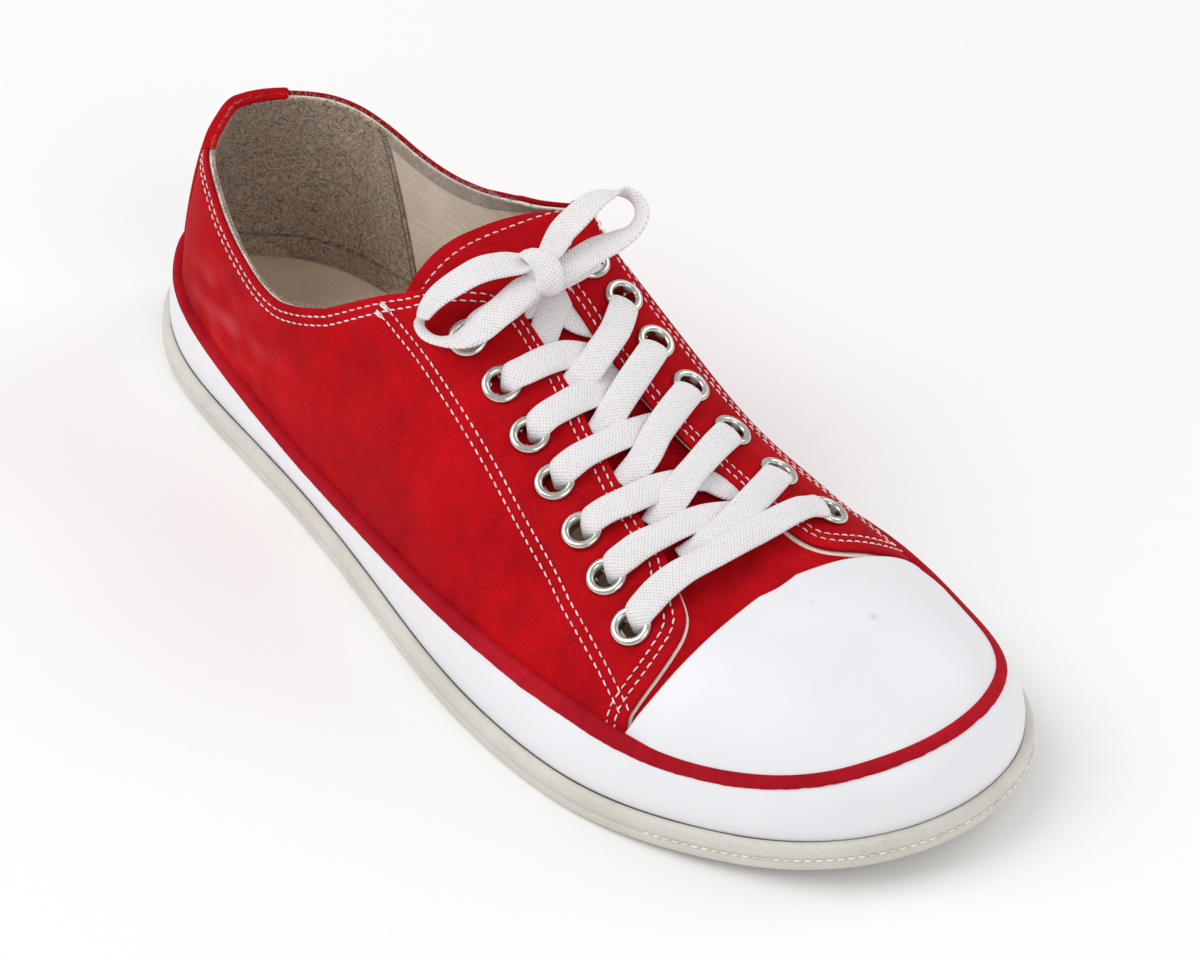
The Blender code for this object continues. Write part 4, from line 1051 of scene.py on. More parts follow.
# ---- pieces ------------------------------------------------------------------------------------------
def eyelet_centres():
    """Name, side and station of all the eyelets, numbered from the top."""
    return [(f"eyelet_{name}_{number}", *place)
            for name, facing in (("lateral", LATERAL_EYELETS), ("medial", MEDIAL_EYELETS))
            for number, place in enumerate(facing, 1)]


def eyelet_axis(side, station):
    """Middle of an eyelet on the last, and the direction it looks in."""
    centre = above(side, station, 0.0)
    return centre, unit(above(side, station, 1.0) - centre)


def punched():
    """Centres of the eyelet holes on the last, and the radius that is left out of a sheet."""
    return np.array([above(side, station, 0.0) for _, side, station in eyelet_centres()]), PUNCH_RADIUS


def seam_lines():
    """All the stitched lines of the quarters, as columns and heights."""
    lines = [edge_row(*depths) for depths in EDGE_SEAMS]
    for row, inwards in ((LATERAL_ROW, 1.0), (MEDIAL_ROW, -1.0)):
        line = smooth_line(on_last(row), 0.5)
        lines += [slide(*line, ROW_HALF * inwards), slide(*line, -ROW_HALF * inwards)]
    return lines


def build_quarters(materials, seams):
    """Outer leather of both quarters and the heel as one sheet, open at the eyelets.

    Its surface is the last plus a slow ripple, with a shallow channel under each row of stitches; a
    patch on the outer heel is rubbed.
    """
    at, height, depth = panel_grid(44, lambda foot: up_piping(foot, 0.35))
    here = last_points(at, height)
    away = nearest(here, np.vstack([last_points(*line) for line in seams]))
    wave = 0.28 * ripple(here, 34.0, 3) * ease((depth - 3.0) / 9.0)
    channel = -0.20 * np.exp(-(away / 0.6) ** 2)
    worn = np.exp(-((here[..., 1] - 52.0) / 20.0) ** 2 - ((here[..., 2] - 32.0) / 12.0) ** 2)
    rub = np.clip(ripple(here, 9.0, 8) * 0.5 + 0.25, 0.0, 1.0) * worn * (here[..., 0] < 0.0) * 0.5
    return leaf("quarters", at, height, QUARTER[0] + wave, QUARTER[1], depth, materials["nubuck"],
                {"rub": rub}, channel, punched())


def build_vamp(materials):
    """Forepart under the quarters and the toe cap, its rear edge across the throat."""
    numbers = np.linspace(9.0, HALF, 60)
    at = np.concatenate([column_of(numbers, True), column_of(numbers[:-1], False)[::-1]])
    start, _ = piping_levels(at)
    share = np.linspace(0.0, 1.0, 46)[:, None]
    height = start + (1.0 - start) * share
    at = np.broadcast_to(at, height.shape)
    here = last_points(at, height)
    crease = -0.35 * np.exp(-((here[..., 1] - 214.0 - 0.02 * (here[..., 0] - 4) ** 2) / 2.2) ** 2)
    return leaf("vamp", at, height, VAMP[0] + 0.2 * ripple(here, 22.0, 5) + crease, VAMP[1],
                end_distance(here), materials["nubuck"], ridge=True)


def build_toe_cap(materials):
    """Toe cap over the vamp.

    Each half is a patch spanned between four lines in column and height: the piping, the ridge, the
    toe's middle column and the cap's back edge; a point blends opposite lines and takes away the
    corners' bilinear blend.
    """
    u = np.concatenate([[0.0, 0.0006, 0.0018, 0.004, 0.008, 0.015, 0.025, 0.04, 0.06, 0.085],
                        np.linspace(0.115, 1.0, 46)])
    v = np.linspace(0.0, 1.0, 52)[:, None] ** 0.9
    halves = []
    forward = np.arange(9, HALF + 1)
    ridge = np.interp(CAP_RIDGE, RAILS(column_of(forward, True))[:, 3], forward)
    toe = KNOTS[HALF]
    for lateral in (True, False):
        row = [p for p in CAP_EDGE if (p.side < 0.0) == lateral]
        at, height = over(*catmull(row if lateral else row[::-1]).T)
        foot = over(*((-44.2, 222.0) if lateral else (45.2, 226.8)))
        at = np.concatenate([[foot[0]], at, [column_of(ridge, lateral)]])
        height = np.concatenate([[foot[1]], height, [1.0]])
        foot_at = at[0] + (toe - at[0]) * u
        base = up_piping(foot_at, 0.45)
        height[0] = base[0]
        curve = catmull(np.column_stack([at, height]))
        share = (curve[:, 1] - curve[0, 1]) / (curve[-1, 1] - curve[0, 1])
        back_at = np.interp(v, share, curve[:, 0])
        back_height = curve[0, 1] + (1.0 - curve[0, 1]) * v
        toe_height = base[-1] + (1.0 - base[-1]) * v
        top_at = at[-1] + (toe - at[-1]) * u
        corners_at = (1 - u) * ((1 - v) * at[0] + v * at[-1]) + u * toe
        corners_height = (1 - u) * ((1 - v) * base[0] + v) + u * ((1 - v) * base[-1] + v)
        grid_at = (1 - u) * back_at + u * toe + (1 - v) * foot_at + v * top_at - corners_at
        grid_height = (1 - u) * back_height + u * toe_height + (1 - v) * base + v - corners_height
        halves.append((grid_at, np.clip(grid_height, 0.0, 1.0)))
    at = np.hstack([halves[0][0], halves[1][0][:, -2::-1]])
    height = np.hstack([halves[0][1], halves[1][1][:, -2::-1]])
    height[-1] = 1.0
    here = last_points(at, height)
    depth = end_distance(here)
    outside = 0.2 + 0.95 * ease(depth / 9.0)
    marks = np.exp(-((here[..., 1] - 246.0) / 0.8) ** 2 - ((here[..., 0] - 9.5) / 0.9) ** 2)
    return leaf("toe_cap_leather", at, height, outside, TOE_CAP_THICK, depth,
                materials["coated_leather"], {"scuff": 0.6 * marks}, ridge=True)


def build_rand(materials):
    """Foxing and piping: belts whose sections follow the last between two heights.

    The foxing's section is a slow bulge, drawn in at the rubber; the piping's is a flat half round
    whose lower edge waves a little, as a hand-trimmed strip does.
    """
    at = around_columns(26)
    start, stop = piping_levels(at)
    spring = toe_spring(rim(at, UPPER_INSET)[:, 1])

    def on_rubber(out, lift):
        return np.column_stack([rim(at, UPPER_INSET - out), SOLE_RIM - 0.1 + spring + lift])

    def on_side(share, out):
        level = start * share
        return last_points(at, level, out + 0.06 * ripple(last_points(at, level), 16.0, 21))

    outer = [on_rubber(*row) for row in ((1.7, 0.0), (2.15, 0.0), (2.35, 0.35), (2.5, 1.1))]
    outer += [on_side(*row) for row in ((0.25, 2.75), (0.45, 2.8), (0.65, 2.65), (0.82, 2.4),
                                        (0.95, 2.1), (1.06, 1.75), (1.1, 0.6), (1.0, 0.3), (0.5, 0.3))]
    outer.append(on_rubber(0.3, 1.1))
    foxing = tube("foxing_leather", np.stack(outer, axis=1), materials["coated_leather"], ring=True)

    foot = last_points(at, start)
    jag = 0.09 * ripple(foot, 3.4, 31) + 0.06 * ripple(foot, 9.0, 32)
    per_height = np.linalg.norm(last_points(at, start + 0.01) - foot, axis=1) / 0.01
    loops = []
    for share, out, edge in [(0.03, 0.3, 0.0), (0.0, 1.75, 1.0), (0.02, 2.1, 1.0), (0.10, 2.3, 0.6),
                             (0.30, 2.3, 0.0), (0.55, 2.1, 0.0), (0.80, 1.75, 0.0), (0.92, 1.4, 0.0),
                             (0.98, 0.9, 0.0), (1.0, 0.2, 0.0), (0.98, -0.5, 0.0), (0.5, -0.6, 0.0)]:
        level = start + (stop - start) * share - edge * jag / per_height
        loops.append(last_points(at, level, out))
    piping = tube("piping_strip", np.stack(loops, axis=1), materials["nubuck_strip"], ring=True)
    return foxing, piping


def zipped_sheet(edge_points, across, lift=None):
    """Grid of straight lines from each lateral column to the medial one facing it, raised by lift."""
    half = len(edge_points) // 2
    lateral = edge_points[:half + 1]
    medial = np.roll(edge_points[::-1], 1, axis=0)[:half + 1]
    share = np.linspace(0.0, 1.0, across)[:, None]
    points = lateral[:, None] + (medial - lateral)[:, None] * share
    if lift:
        points[..., 2] += lift(points)
    return points


def shore(points):
    """Distance of each point of a zipped sheet from the nearer edge, straight across."""
    x = points[..., 0]
    return np.minimum(np.abs(x - x[:, :1]), np.abs(x - x[:, -1:]))


def shell(name, rings, sheets, material):
    """Solid from rings round the outline and the two sheets that close it."""
    points = [np.vstack(rings)] + [sheet.reshape(-1, 3) for sheet in sheets]
    faces = grid_faces(len(rings), len(rings[0]), False, True)
    for sheet, first in zip(sheets, np.cumsum([len(part) for part in points])):
        faces += grid_faces(*sheet.shape[:2], first=first)
    return new_mesh(name, np.vstack(points), faces, material)


def build_outsole(materials):
    """Rubber sole: a turned rim section carried round the outline, and a grooved underside.

    The underside hangs straight lines between the two sides; across them run grooves that fade
    towards the edge, and between the grooves a fine diamond pattern.
    """
    at = around_columns(34)
    profile = [(1.5, 0.0), (1.0, 0.15), (0.55, 0.55), (0.2, 1.2), (0.05, 2.2), (0.0, 2.9), (0.05, 3.25),
               (0.34, 3.45), (0.36, 3.8), (0.08, 4.05), (0.03, 5.2), (0.25, 6.3), (0.6, 6.95),
               (1.1, 7.3), (1.7, 7.42), (2.35, 7.42), (2.55, 7.2), (2.7, 6.6), (6.0, 6.6)]
    rings = []
    for inset, z in profile:
        edge = rim(at, inset)
        station = edge[:, 1]
        waist = np.exp(-((station - 0.42 * LENGTH) / (0.13 * LENGTH)) ** 2)
        raised = 1.2 * waist * (edge[:, 0] > 0.0) * (z < SOLE_RIM / 2.0) * (1.0 - z / 3.7)
        wobble = 0.05 * ripple(np.column_stack([edge, np.full(len(at), z)]), 14.0, 41)
        rings.append(np.column_stack([rim(at, inset + wobble), z + toe_spring(station) + raised]))

    def tread(points):
        x, s = points[..., 0], points[..., 1]
        inside = ease((shore(points) - 9.0) / 4.0)
        waves = s + 1.1 * np.sin(x / 9.0)
        cut = sum(ease(1.6 - np.abs(waves - g) / 0.95) for g in GROOVES)
        knurl = np.sin((x + s) * math.tau / 4.2) * np.sin((x - s) * math.tau / 4.2)
        return 1.15 * cut * inside + 0.30 * ease(2.5 * knurl) * ease((shore(points) - 4.0) / 3.0)

    return shell("rubber_sole", rings, [zipped_sheet(rings[0], 72, tread), zipped_sheet(rings[-1], 3)],
                 materials["rubber"])


def build_insole(materials):
    """Leather-covered footbed: a low dish that rises towards its edge, rounded over at the rim."""
    at = around_columns(14)
    inset = UPPER_INSET + 2.4
    rings = []
    for extra, z in ((0.6, 0.3), (0.2, 0.6), (0.1, 1.6), (0.1, 2.9), (0.3, 3.5), (0.8, 3.8),
                     (1.6, 3.85)):
        edge = rim(at, inset + extra)
        rings.append(np.column_stack([edge, SOLE_RIM + z + toe_spring(edge[:, 1])]))

    def dish(points):
        return -0.9 * ease(shore(points) / 16.0) + 0.08 * ripple(points, 12.0, 51)

    return shell("sock_leather", rings, [zipped_sheet(rings[-1], 40, dish), zipped_sheet(rings[0], 3)],
                 materials["sock"])


def build_lining(materials):
    """Smooth lining behind the quarters: the same sheet further in, down to the insole."""
    at, height, depth = panel_grid(26, floor_foot,
                                   -0.35 + np.where(EDGE[0] > 0.0, 0.8, 1.1) * front_share())
    return leaf("lining", at, height, *LINING, depth, materials["lining"], holes=punched())


def heel_span(number_lateral, number_medial, columns):
    """Columns from the lateral side over 0 at the heel to the medial side, below 0."""
    ends = column_of(number_lateral, True), column_of(number_medial, False) - AROUND
    return np.linspace(*ends, columns)


def collar_height(at):
    """Height of the cut edge over columns near the heel."""
    edge_at, edge_height = EDGE
    order = np.argsort(edge_at)
    return np.interp(at, edge_at[order], edge_height[order])


def build_heel_lining(materials):
    """Rough split lining round the heel, laid over the smooth one up to the collar."""
    share = np.linspace(0.0, 1.0, 84)[:, None]
    top = heel_span(2.9, 2.75, 230)
    foot = heel_span(3.1, 3.13, 230)
    at = top + (foot - top) * share
    high = collar_height(top)
    height = high + (floor_foot(foot) - high) * share
    here = last_points(at, height)
    ends = end_distance(here)
    depth = np.minimum(ends, arc_rows(np.swapaxes(here, 0, 1)).T + 0.02)
    rough = np.random.default_rng(71).normal(size=at.shape)
    rough = rough + np.roll(rough, 1, 0) + np.roll(rough, 1, 1) + np.roll(rough, -1, 0)
    fold = np.exp(-((here[..., 2] - 20.0 + 0.02 * (here[..., 0] - 5.0) ** 2) / 0.9) ** 2)
    out = -2.0 - 0.025 * rough + 0.5 * fold
    # the "dark" mask: seam is the real dark stitching line near both edges; line is a painted shadow
    # under the fold, a dark band at 18.7 mm painted into the suede's colour
    seam = 0.8 * np.exp(-((ends - 1.3) / 0.4) ** 2)
    line = 0.75 * np.exp(-((here[..., 2] - 18.7) / 0.45) ** 2)
    return leaf("heel_lining", at, height, out, SUEDE_THICK, depth, materials["suede"],
                {"dark": np.maximum(seam, line)})


def build_collar_tape(materials):
    """Narrow rough band stitched inside the collar, from the heel lining forward on both sides."""
    at, height = EDGE
    widths = np.array([0.15, 0.25, 0.4, 0.8, 1.4, 2.1, 2.8, 3.5, 4.0, 4.3, 4.45, 4.55])
    depth = np.minimum(widths - widths[0], widths[-1] - widths)[:, None]
    pieces = []
    for name, low, high in (("lateral", 2.8, 4.9), ("medial", 2.7, 5.2)):
        lateral = name == "lateral"
        ends = sorted([column_of(low, lateral), column_of(high, lateral)])
        span = at if lateral else at + AROUND
        keep = (span > ends[0]) & (span < ends[1]) & (height > 0.3)
        lines = [(at[keep], height[keep])]
        for step in np.diff(widths, prepend=0.0):
            lines.append(slide(*lines[-1], step))
        grid = np.array(lines[1:])
        pieces.append(leaf(f"collar_tape_{name}", grid[:, 0], grid[:, 1], *TAPE, depth,
                           materials["suede_pale"]))
    return pieces


def build_heel_strip(materials):
    """Back strip from the piping over the collar's edge and a little way down inside."""
    across = np.linspace(0.0, 1.0, 64)
    top = heel_span(1.82, 1.25, 64)
    foot = heel_span(0.85, 0.75, 64)
    base = up_piping(foot, 0.4)
    high = collar_height(top)
    rows = []
    for share in np.linspace(0.0, 1.0, 40):
        at = foot + (top - foot) * share
        h = base + (high - base) * share
        rows.append((last_points(at, h), last_normals(at, h)))
    edge, normal = rows[-1]
    up = unit(edge - rows[-2][0])
    side = np.minimum(across, 1.0 - across) * 40.0
    round_edge = 1.0 - np.sqrt(np.clip(1.0 - np.clip(1.0 - side / 0.5, 0.0, None) ** 2, 0.0, None))
    outer = [p + n * (0.55 - 0.5 * round_edge)[:, None] for p, n in rows]
    middle, radius = -1.15, 1.7
    for turn in np.linspace(0.0, math.pi, 12)[1:]:
        arch = middle + radius * math.cos(turn) - 0.4 * round_edge * math.cos(turn)
        rise = radius * math.sin(turn) * 0.28 - 0.3 * round_edge * math.sin(turn)
        outer.append(edge + normal * arch[:, None] + up * rise[:, None])
    for drop in (0.4, 0.8, 1.2, 1.5, 1.7):
        sink = 0.35 * (drop > 1.6)
        outer.append(edge + normal * (middle - radius + 0.4 * round_edge + sink)[:, None] - up * drop)
    outer = np.array(outer)
    towards = unit(np.gradient(outer, axis=0))
    sideways = unit(np.gradient(outer, axis=1))
    inner = outer + unit(np.cross(towards, sideways)) * STRIP_THICK
    rows_n, cols_n = outer.shape[:2]
    count = rows_n * cols_n
    faces = grid_faces(rows_n, cols_n) + grid_faces(rows_n, cols_n, first=count)
    border = np.concatenate([np.arange(cols_n), np.arange(1, rows_n) * cols_n + cols_n - 1,
                             (rows_n - 1) * cols_n + np.arange(cols_n - 2, -1, -1),
                             np.arange(rows_n - 2, 0, -1) * cols_n])
    follow = np.roll(border, -1)
    faces += np.stack([border, border + count, follow + count, follow], axis=1).tolist()
    return new_mesh("heel_strip", np.vstack([outer.reshape(-1, 3), inner.reshape(-1, 3)]), faces,
                    materials["nubuck"])


def tongue_top(across):
    """How far a place across the tongue, from -1 to 1, has its top edge set down."""
    return 2.4 * across + 3.0 * np.abs(across) ** 4 + 4.0 * np.clip(across - 0.1, 0.0, None) ** 2


def tongue_rows():
    """Side and station of the tongue's grid, its top edge rounded at the corners, and its depth."""
    along = np.concatenate([[0.0, 0.06, 0.18, 0.4, 0.7, 1.1], np.linspace(1.8, 104.0, 80)])
    rows = TONGUE[0].station + along
    across = np.sin(np.linspace(-1.0, 1.0, 66) * math.pi / 2.0)
    lateral = smooth(TONGUE, "lateral", rows)[:, None]
    medial = smooth(TONGUE, "medial", rows)[:, None]
    side = (lateral + medial) / 2.0 + (medial - lateral) / 2.0 * across
    station = rows[:, None] + tongue_top(across) * np.clip((142.0 - rows) / 29.0, 0.0, 1.0)[:, None]
    width = ((medial - lateral) / 2.0) * (1.0 - np.abs(across))
    return side, station, np.minimum(along[:, None], width + 0.02)


def build_tongue(materials):
    """Padded tongue: nubuck outside, with soft creases that fan from the lacing towards its top."""
    side, station, depth = tongue_rows()
    at, height = over(side, station)
    crease = np.sin((side - 4.0) / (2.2 + (station - 110.0) * 0.05))
    crease *= np.exp(-((station - 126.0) / 9.0) ** 2)
    here = last_points(at, height)
    wave = 0.12 * ripple(here, 7.0, 81) + 0.10 * crease
    return leaf("tongue_leather", at, height, *TONGUE_SHEET, depth, materials["nubuck"],
                bump=wave * ease(depth / 3.0))


def build_eyelets(materials):
    """Rolled eyelets: a section of barrel and domed flange turned round each hole's axis."""
    inner, outer = EYELET_HOLE / 2.0, EYELET_OUTER / 2.0
    mid, half = (inner + outer) / 2.0, (outer - inner) / 2.0
    roll = np.linspace(math.pi, 0.0, 11)
    dome = np.column_stack([mid + half * np.cos(roll), 0.12 + 1.05 * np.sin(roll) ** 0.8])
    profile = np.vstack([[(inner, -2.9), (inner, -0.8)], dome,
                         [(outer - 0.1, -0.08), (inner + 0.5, -0.08), (inner + 0.35, -0.3),
                          (inner + 0.35, -2.9)]])
    turn = turns(48)
    pieces = []
    for name, side, station in eyelet_centres():
        here = above(side, station, 0.12)
        centre, out = eyelet_axis(side, station)
        ahead = above(side, station + 0.6, 0.0) - centre
        ahead = unit(ahead - out * (ahead @ out))
        aside = np.cross(out, ahead)
        ring = np.cos(turn)[:, None, None] * ahead + np.sin(turn)[:, None, None] * aside
        points = here + ring * profile[None, :, :1] + out * profile[None, :, 1:]
        pieces.append((name, tube(name + "_ring", points, materials["nickel"], ring=True)))
    return pieces


# ---- the bow: centreline and facing direction of the flat lace, side, station, z (mm) ----------------
Band = namedtuple("Band", "side station z face_side face_station face_z")
# from the top lateral eyelet to the knot, round the lateral loop and back
LATERAL_CORD = rows_of(Band, [
    (-9.0, 136.2, 70.9, -0.35, 0.35, 0.87), (-4.0, 136.8, 72.2, -0.25, 0.35, 0.90),
    (0.6, 136.8, 73.2, -0.20, 0.35, 0.91), (5.4, 136.8, 74.2, -0.25, 0.30, 0.91),
    (9.4, 136.2, 75.2, -0.45, 0.20, 0.87), (11.0, 135.6, 77.0, -0.95, 0.0, 0.20),
    (9.2, 134.9, 78.9, -0.35, 0.0, -0.93), (4.6, 134.2, 79.2, 0.10, -0.10, -0.98),
    (0.2, 132.8, 80.6, 0.20, -0.20, -0.96), (-4.6, 131.2, 80.7, 0.25, -0.22, -0.94),
    (-9.1, 129.2, 79.1, 0.58, 0.03, -0.82), (-12.8, 127.1, 76.3, 0.80, 0.25, -0.55),
    (-16.3, 125.4, 72.6, 0.89, 0.38, -0.25), (-18.9, 125.6, 69.6, 0.92, 0.30, 0.22),
    (-20.0, 128.9, 68.9, 0.70, -0.15, 0.70), (-19.4, 132.8, 69.1, 0.35, -0.30, 0.88),
    (-16.8, 136.4, 70.2, 0.05, -0.05, 0.99), (-12.6, 138.4, 71.8, -0.20, 0.20, 0.96),
    (-7.2, 139.0, 74.0, -0.30, 0.30, 0.90), (-1.6, 138.6, 75.6, -0.32, 0.32, 0.89),
    (4.6, 138.2, 76.8, -0.35, 0.35, 0.87), (8.0, 138.0, 77.2, -0.35, 0.35, 0.87),
])
# the same on the inner side
MEDIAL_CORD = rows_of(Band, [
    (23.0, 136.3, 73.0, 0.20, 0.30, 0.93), (18.6, 137.2, 73.8, 0.15, 0.35, 0.92),
    (13.0, 137.6, 74.0, 0.20, 0.35, 0.91), (8.4, 138.4, 74.6, 0.45, 0.20, 0.87),
    (6.4, 138.4, 76.6, 0.95, 0.0, 0.20), (8.6, 137.2, 78.4, 0.40, 0.0, -0.92),
    (12.4, 135.6, 79.8, 0.50, -0.10, -0.86), (16.0, 135.0, 83.0, 0.60, -0.12, -0.79),
    (19.5, 135.2, 85.4, 0.55, -0.12, -0.83), (24.4, 134.8, 86.8, 0.35, 0.0, -0.93),
    (30.3, 134.5, 87.0, -0.05, 0.30, -0.95), (34.1, 136.4, 86.8, -0.60, 0.50, -0.62),
    (34.6, 140.2, 85.8, -0.93, -0.05, -0.20), (33.1, 143.0, 84.0, -0.72, -0.45, 0.45),
    (30.2, 143.6, 82.0, -0.45, -0.45, 0.78), (26.4, 142.2, 80.4, -0.35, -0.10, 0.92),
    (21.6, 140.8, 79.2, -0.40, 0.15, 0.90), (17.0, 140.0, 78.0, -0.45, 0.30, 0.84),
    (13.2, 139.6, 76.9, -0.45, 0.35, 0.82), (9.6, 139.0, 76.4, -0.40, 0.35, 0.84),
])
# the turn of lace that ties the bow
KNOT_WRAP = rows_of(Band, [
    (9.3, 135.0, 75.4, 0.60, -0.60, -0.50), (8.3, 133.0, 77.0, 0.66, -0.74, -0.14),
    (8.2, 132.8, 80.1, 0.49, -0.55, 0.67), (7.7, 134.6, 81.9, 0.19, -0.22, 0.96),
    (7.5, 137.6, 81.8, -0.15, 0.17, 0.97), (7.1, 140.0, 80.4, -0.47, 0.53, 0.70),
    (6.4, 141.6, 78.2, -0.66, 0.74, 0.16), (5.8, 141.7, 75.6, -0.63, 0.70, -0.34),
    (6.2, 140.4, 73.8, -0.49, 0.55, -0.67), (7.4, 138.6, 73.4, -0.30, 0.34, -0.89),
])
KNOT_CENTRE = np.array([8.4, 137.3, 77.6])
KNOT_AXES = np.array([[0.86, 0.5, 0.08], [-0.1, 0.05, 0.99], [-0.5, 0.86, 0.0]])
KNOT_HALF, KNOT_RADIUS = 4.2, 3.3  # of the lace wound up inside the knot


def band_line(table, start=None, spacing=0.45):
    """Smooth line through the table, its facing directions, and the distance along it."""
    rows = np.array([tuple(b) for b in table], float)
    if start is not None:
        rows = np.vstack([start, rows])
    fine = catmull(rows)
    length = arc_length(fine[:, :3])
    places = np.linspace(0.0, length[-1], int(round(length[-1] / spacing)))
    line = spread_along(fine[:, :3], fine, places)
    return line[:, :3], unit(line[:, 3:]), places


def from_eyelet(facing, goal):
    """Points that lead a lace up out of the top eyelet of a facing towards a goal, with directions."""
    centre, out = eyelet_axis(*facing[0])
    ahead = np.array([goal.side, goal.station, goal.z]) - centre
    ahead = unit(ahead - out * (ahead @ out))
    rows = [np.concatenate([centre + out * rise + ahead * way, out * 0.4 * lean - ahead * (1.0 - lean)])
            for rise, way, lean in ((-3.0, 0.2, 0.1), (-1.2, 0.3, 0.1), (0.5, 0.7, 0.4),
                                    (1.7, 2.0, 0.9))]
    return np.array(rows), centre


def build_bow(materials, settings):
    """Both lace ends from the top eyelets into the knot, out as a loop and back; and the knot."""
    width, thick = settings.lace_width / MM, settings.lace_thickness / MM
    knot_line, knot_face, run = band_line(KNOT_WRAP)
    curl = 0.75 + 0.2 * np.sin(run / run[-1] * 7.0)
    knot = lace_strip("bow_knot", knot_line, knot_face, curl, width * 0.92, thick * 1.1,
                      materials["cotton"])
    core_at = np.linspace(-1.0, 1.0, 22)[:, None]
    radius = KNOT_RADIUS * np.sqrt(np.clip(1.0 - np.abs(core_at) ** 2.6, 0.0, None)) + 0.02
    turn = turns(24)
    axis, one, two = KNOT_AXES
    spoke = np.cos(turn)[:, None] * one + np.sin(turn)[:, None] * two
    rings = KNOT_CENTRE + core_at[..., None] * KNOT_HALF * axis + radius[..., None] * spoke
    weave = np.stack(np.broadcast_arrays(core_at * 6.0, np.sin(turn) * 4.0, 1.0), axis=-1)
    core = tube("bow_core", rings, materials["cotton"], {"weave": weave})
    cords = []
    for name, table, facing in (("bow_lateral", LATERAL_CORD, LATERAL_EYELETS),
                                ("bow_medial", MEDIAL_CORD, MEDIAL_EYELETS)):
        lead, exit_point = from_eyelet(facing, table[0])
        line, face, run = band_line(table, lead)
        squeeze = np.exp(-(np.linalg.norm(line - KNOT_CENTRE, axis=1) / 5.2) ** 2)
        into = np.exp(-(run / 3.0) ** 2)
        curl = 0.30 + 1.0 * squeeze + 1.5 * into + 0.10 * np.sin(run * 0.55)
        piece = lace_strip(name, line, face, curl, width * (1.0 - 0.25 * squeeze), thick,
                           materials["cotton"], puff=0.25 * squeeze)
        cords.append((piece, line, exit_point, run[-1]))
    return knot, core, cords


def build_lacing(materials, settings):
    """Every strand of the lacing as a strip of flat lace that dives into its eyelet."""
    width, thick = settings.lace_width / MM, settings.lace_thickness / MM
    pieces = []

    def strand(name, route, seed, pinch, both_ends=False):
        centre, face, run = surface_line(route)
        into = np.exp(-((run[-1] - run) / 3.6) ** 2)
        if both_ends:
            into = into + np.exp(-(run / 3.6) ** 2)
        rng = np.random.default_rng(seed)
        phase = rng.uniform(0.0, math.tau, 3)
        curl = 0.22 + 1.7 * into + 0.10 * np.sin(run * 0.35 + phase[0])
        twist = 0.10 * np.sin(run * 0.22 + phase[1])
        pieces.append(lace_strip(name, centre, face, curl, width * (1.0 - pinch * into), thick,
                                 materials["cotton"], twist, rng.uniform(0.0, 9.0)))

    for side, routes, facing, seed, pinch in (("lateral", LATERAL_STRANDS, LATERAL_EYELETS, 0, 0.44),
                                              ("medial", MEDIAL_STRANDS, MEDIAL_EYELETS, 20, 0.12)):
        for number, route in routes.items():
            dive = eyelet_dive(*facing[number - 1], route[-1][:2])
            strand(f"strand_{side}_{number}", route + dive, seed + number, pinch)
    start = eyelet_dive(*MEDIAL_EYELETS[-1], BAR[0][:2])[::-1]
    finish = eyelet_dive(*LATERAL_EYELETS[-1], BAR[-1][:2])
    strand("strand_bar", start + BAR + finish, 40, 0.25, both_ends=True)
    for number, route in enumerate(TOP_STRANDS, 1):
        centre, face, _ = surface_line(route)
        pieces.append(lace_strip(f"strand_top_{number}", centre, face, 0.15, width, thick,
                                 materials["cotton"]))
    return pieces


def build_stitching(materials, seams, settings):
    """White rows on quarters and tongue, bar tacks, and pale stitches along the rubber rim."""
    length, gap = settings.stitch_length / MM, settings.stitch_gap / MM
    rows = [thread_runs(*line, 0.02, length, gap, start=0.6 * i) for i, line in enumerate(seams)]
    lateral, medial = [smooth(TONGUE, name, np.array([116.0])) for name in ("lateral", "medial")]
    reach = np.linspace(-0.90, 0.90, 90)
    at, height = over((lateral + medial) / 2.0 + (medial - lateral) / 2.0 * reach,
                      TONGUE[0].station + 4.0 + tongue_top(reach))
    for half in (at < KNOTS[HALF], at > KNOTS[HALF]):
        rows.append(thread_runs(at[half], height[half], TONGUE_SHEET[0], length, gap))
    white = stitches("stitches_white", rows, length, WHITE_THREAD, materials["thread"])

    tacks = []
    for row, sign in ((LATERAL_ROW, 1.0), (MEDIAL_ROW, -1.0)):
        line = smooth_line(on_last(row), 0.5)
        for away in (0.85, 1.45, -0.85, -1.45):
            at, height = slide(*line, away * sign)
            for nudge in (0.0, 0.12):
                a, h = slide(at, height, nudge)
                tacks.append(thread_runs(a[:8], h[:8], 0.1 + nudge, 2.2, -1.0, yaw=nudge))
    tack = stitches("bar_tacks", tacks, 2.3, HEAVY_THREAD, materials["thread"])

    at = np.linspace(column_of(9.6, True), column_of(8.7, False), 900)
    low, high = [np.column_stack([rim(at, -0.02), z + toe_spring(rim(at)[:, 1])]) for z in (3.85, 4.85)]
    places = np.arange(1.0, arc_length(low)[-1] - 1.0, 2.35)
    middle = spread_along(low, low, places)
    way = unit(spread_along(low, np.gradient(low, axis=0), places))
    up = unit(spread_along(low, high - low, places))
    welt = stitches("sole_stitches", [(middle, way, up, unit(np.cross(up, way)))], 1.7,
                    HEAVY_THREAD, materials["sole_thread"])
    return white, tack, welt


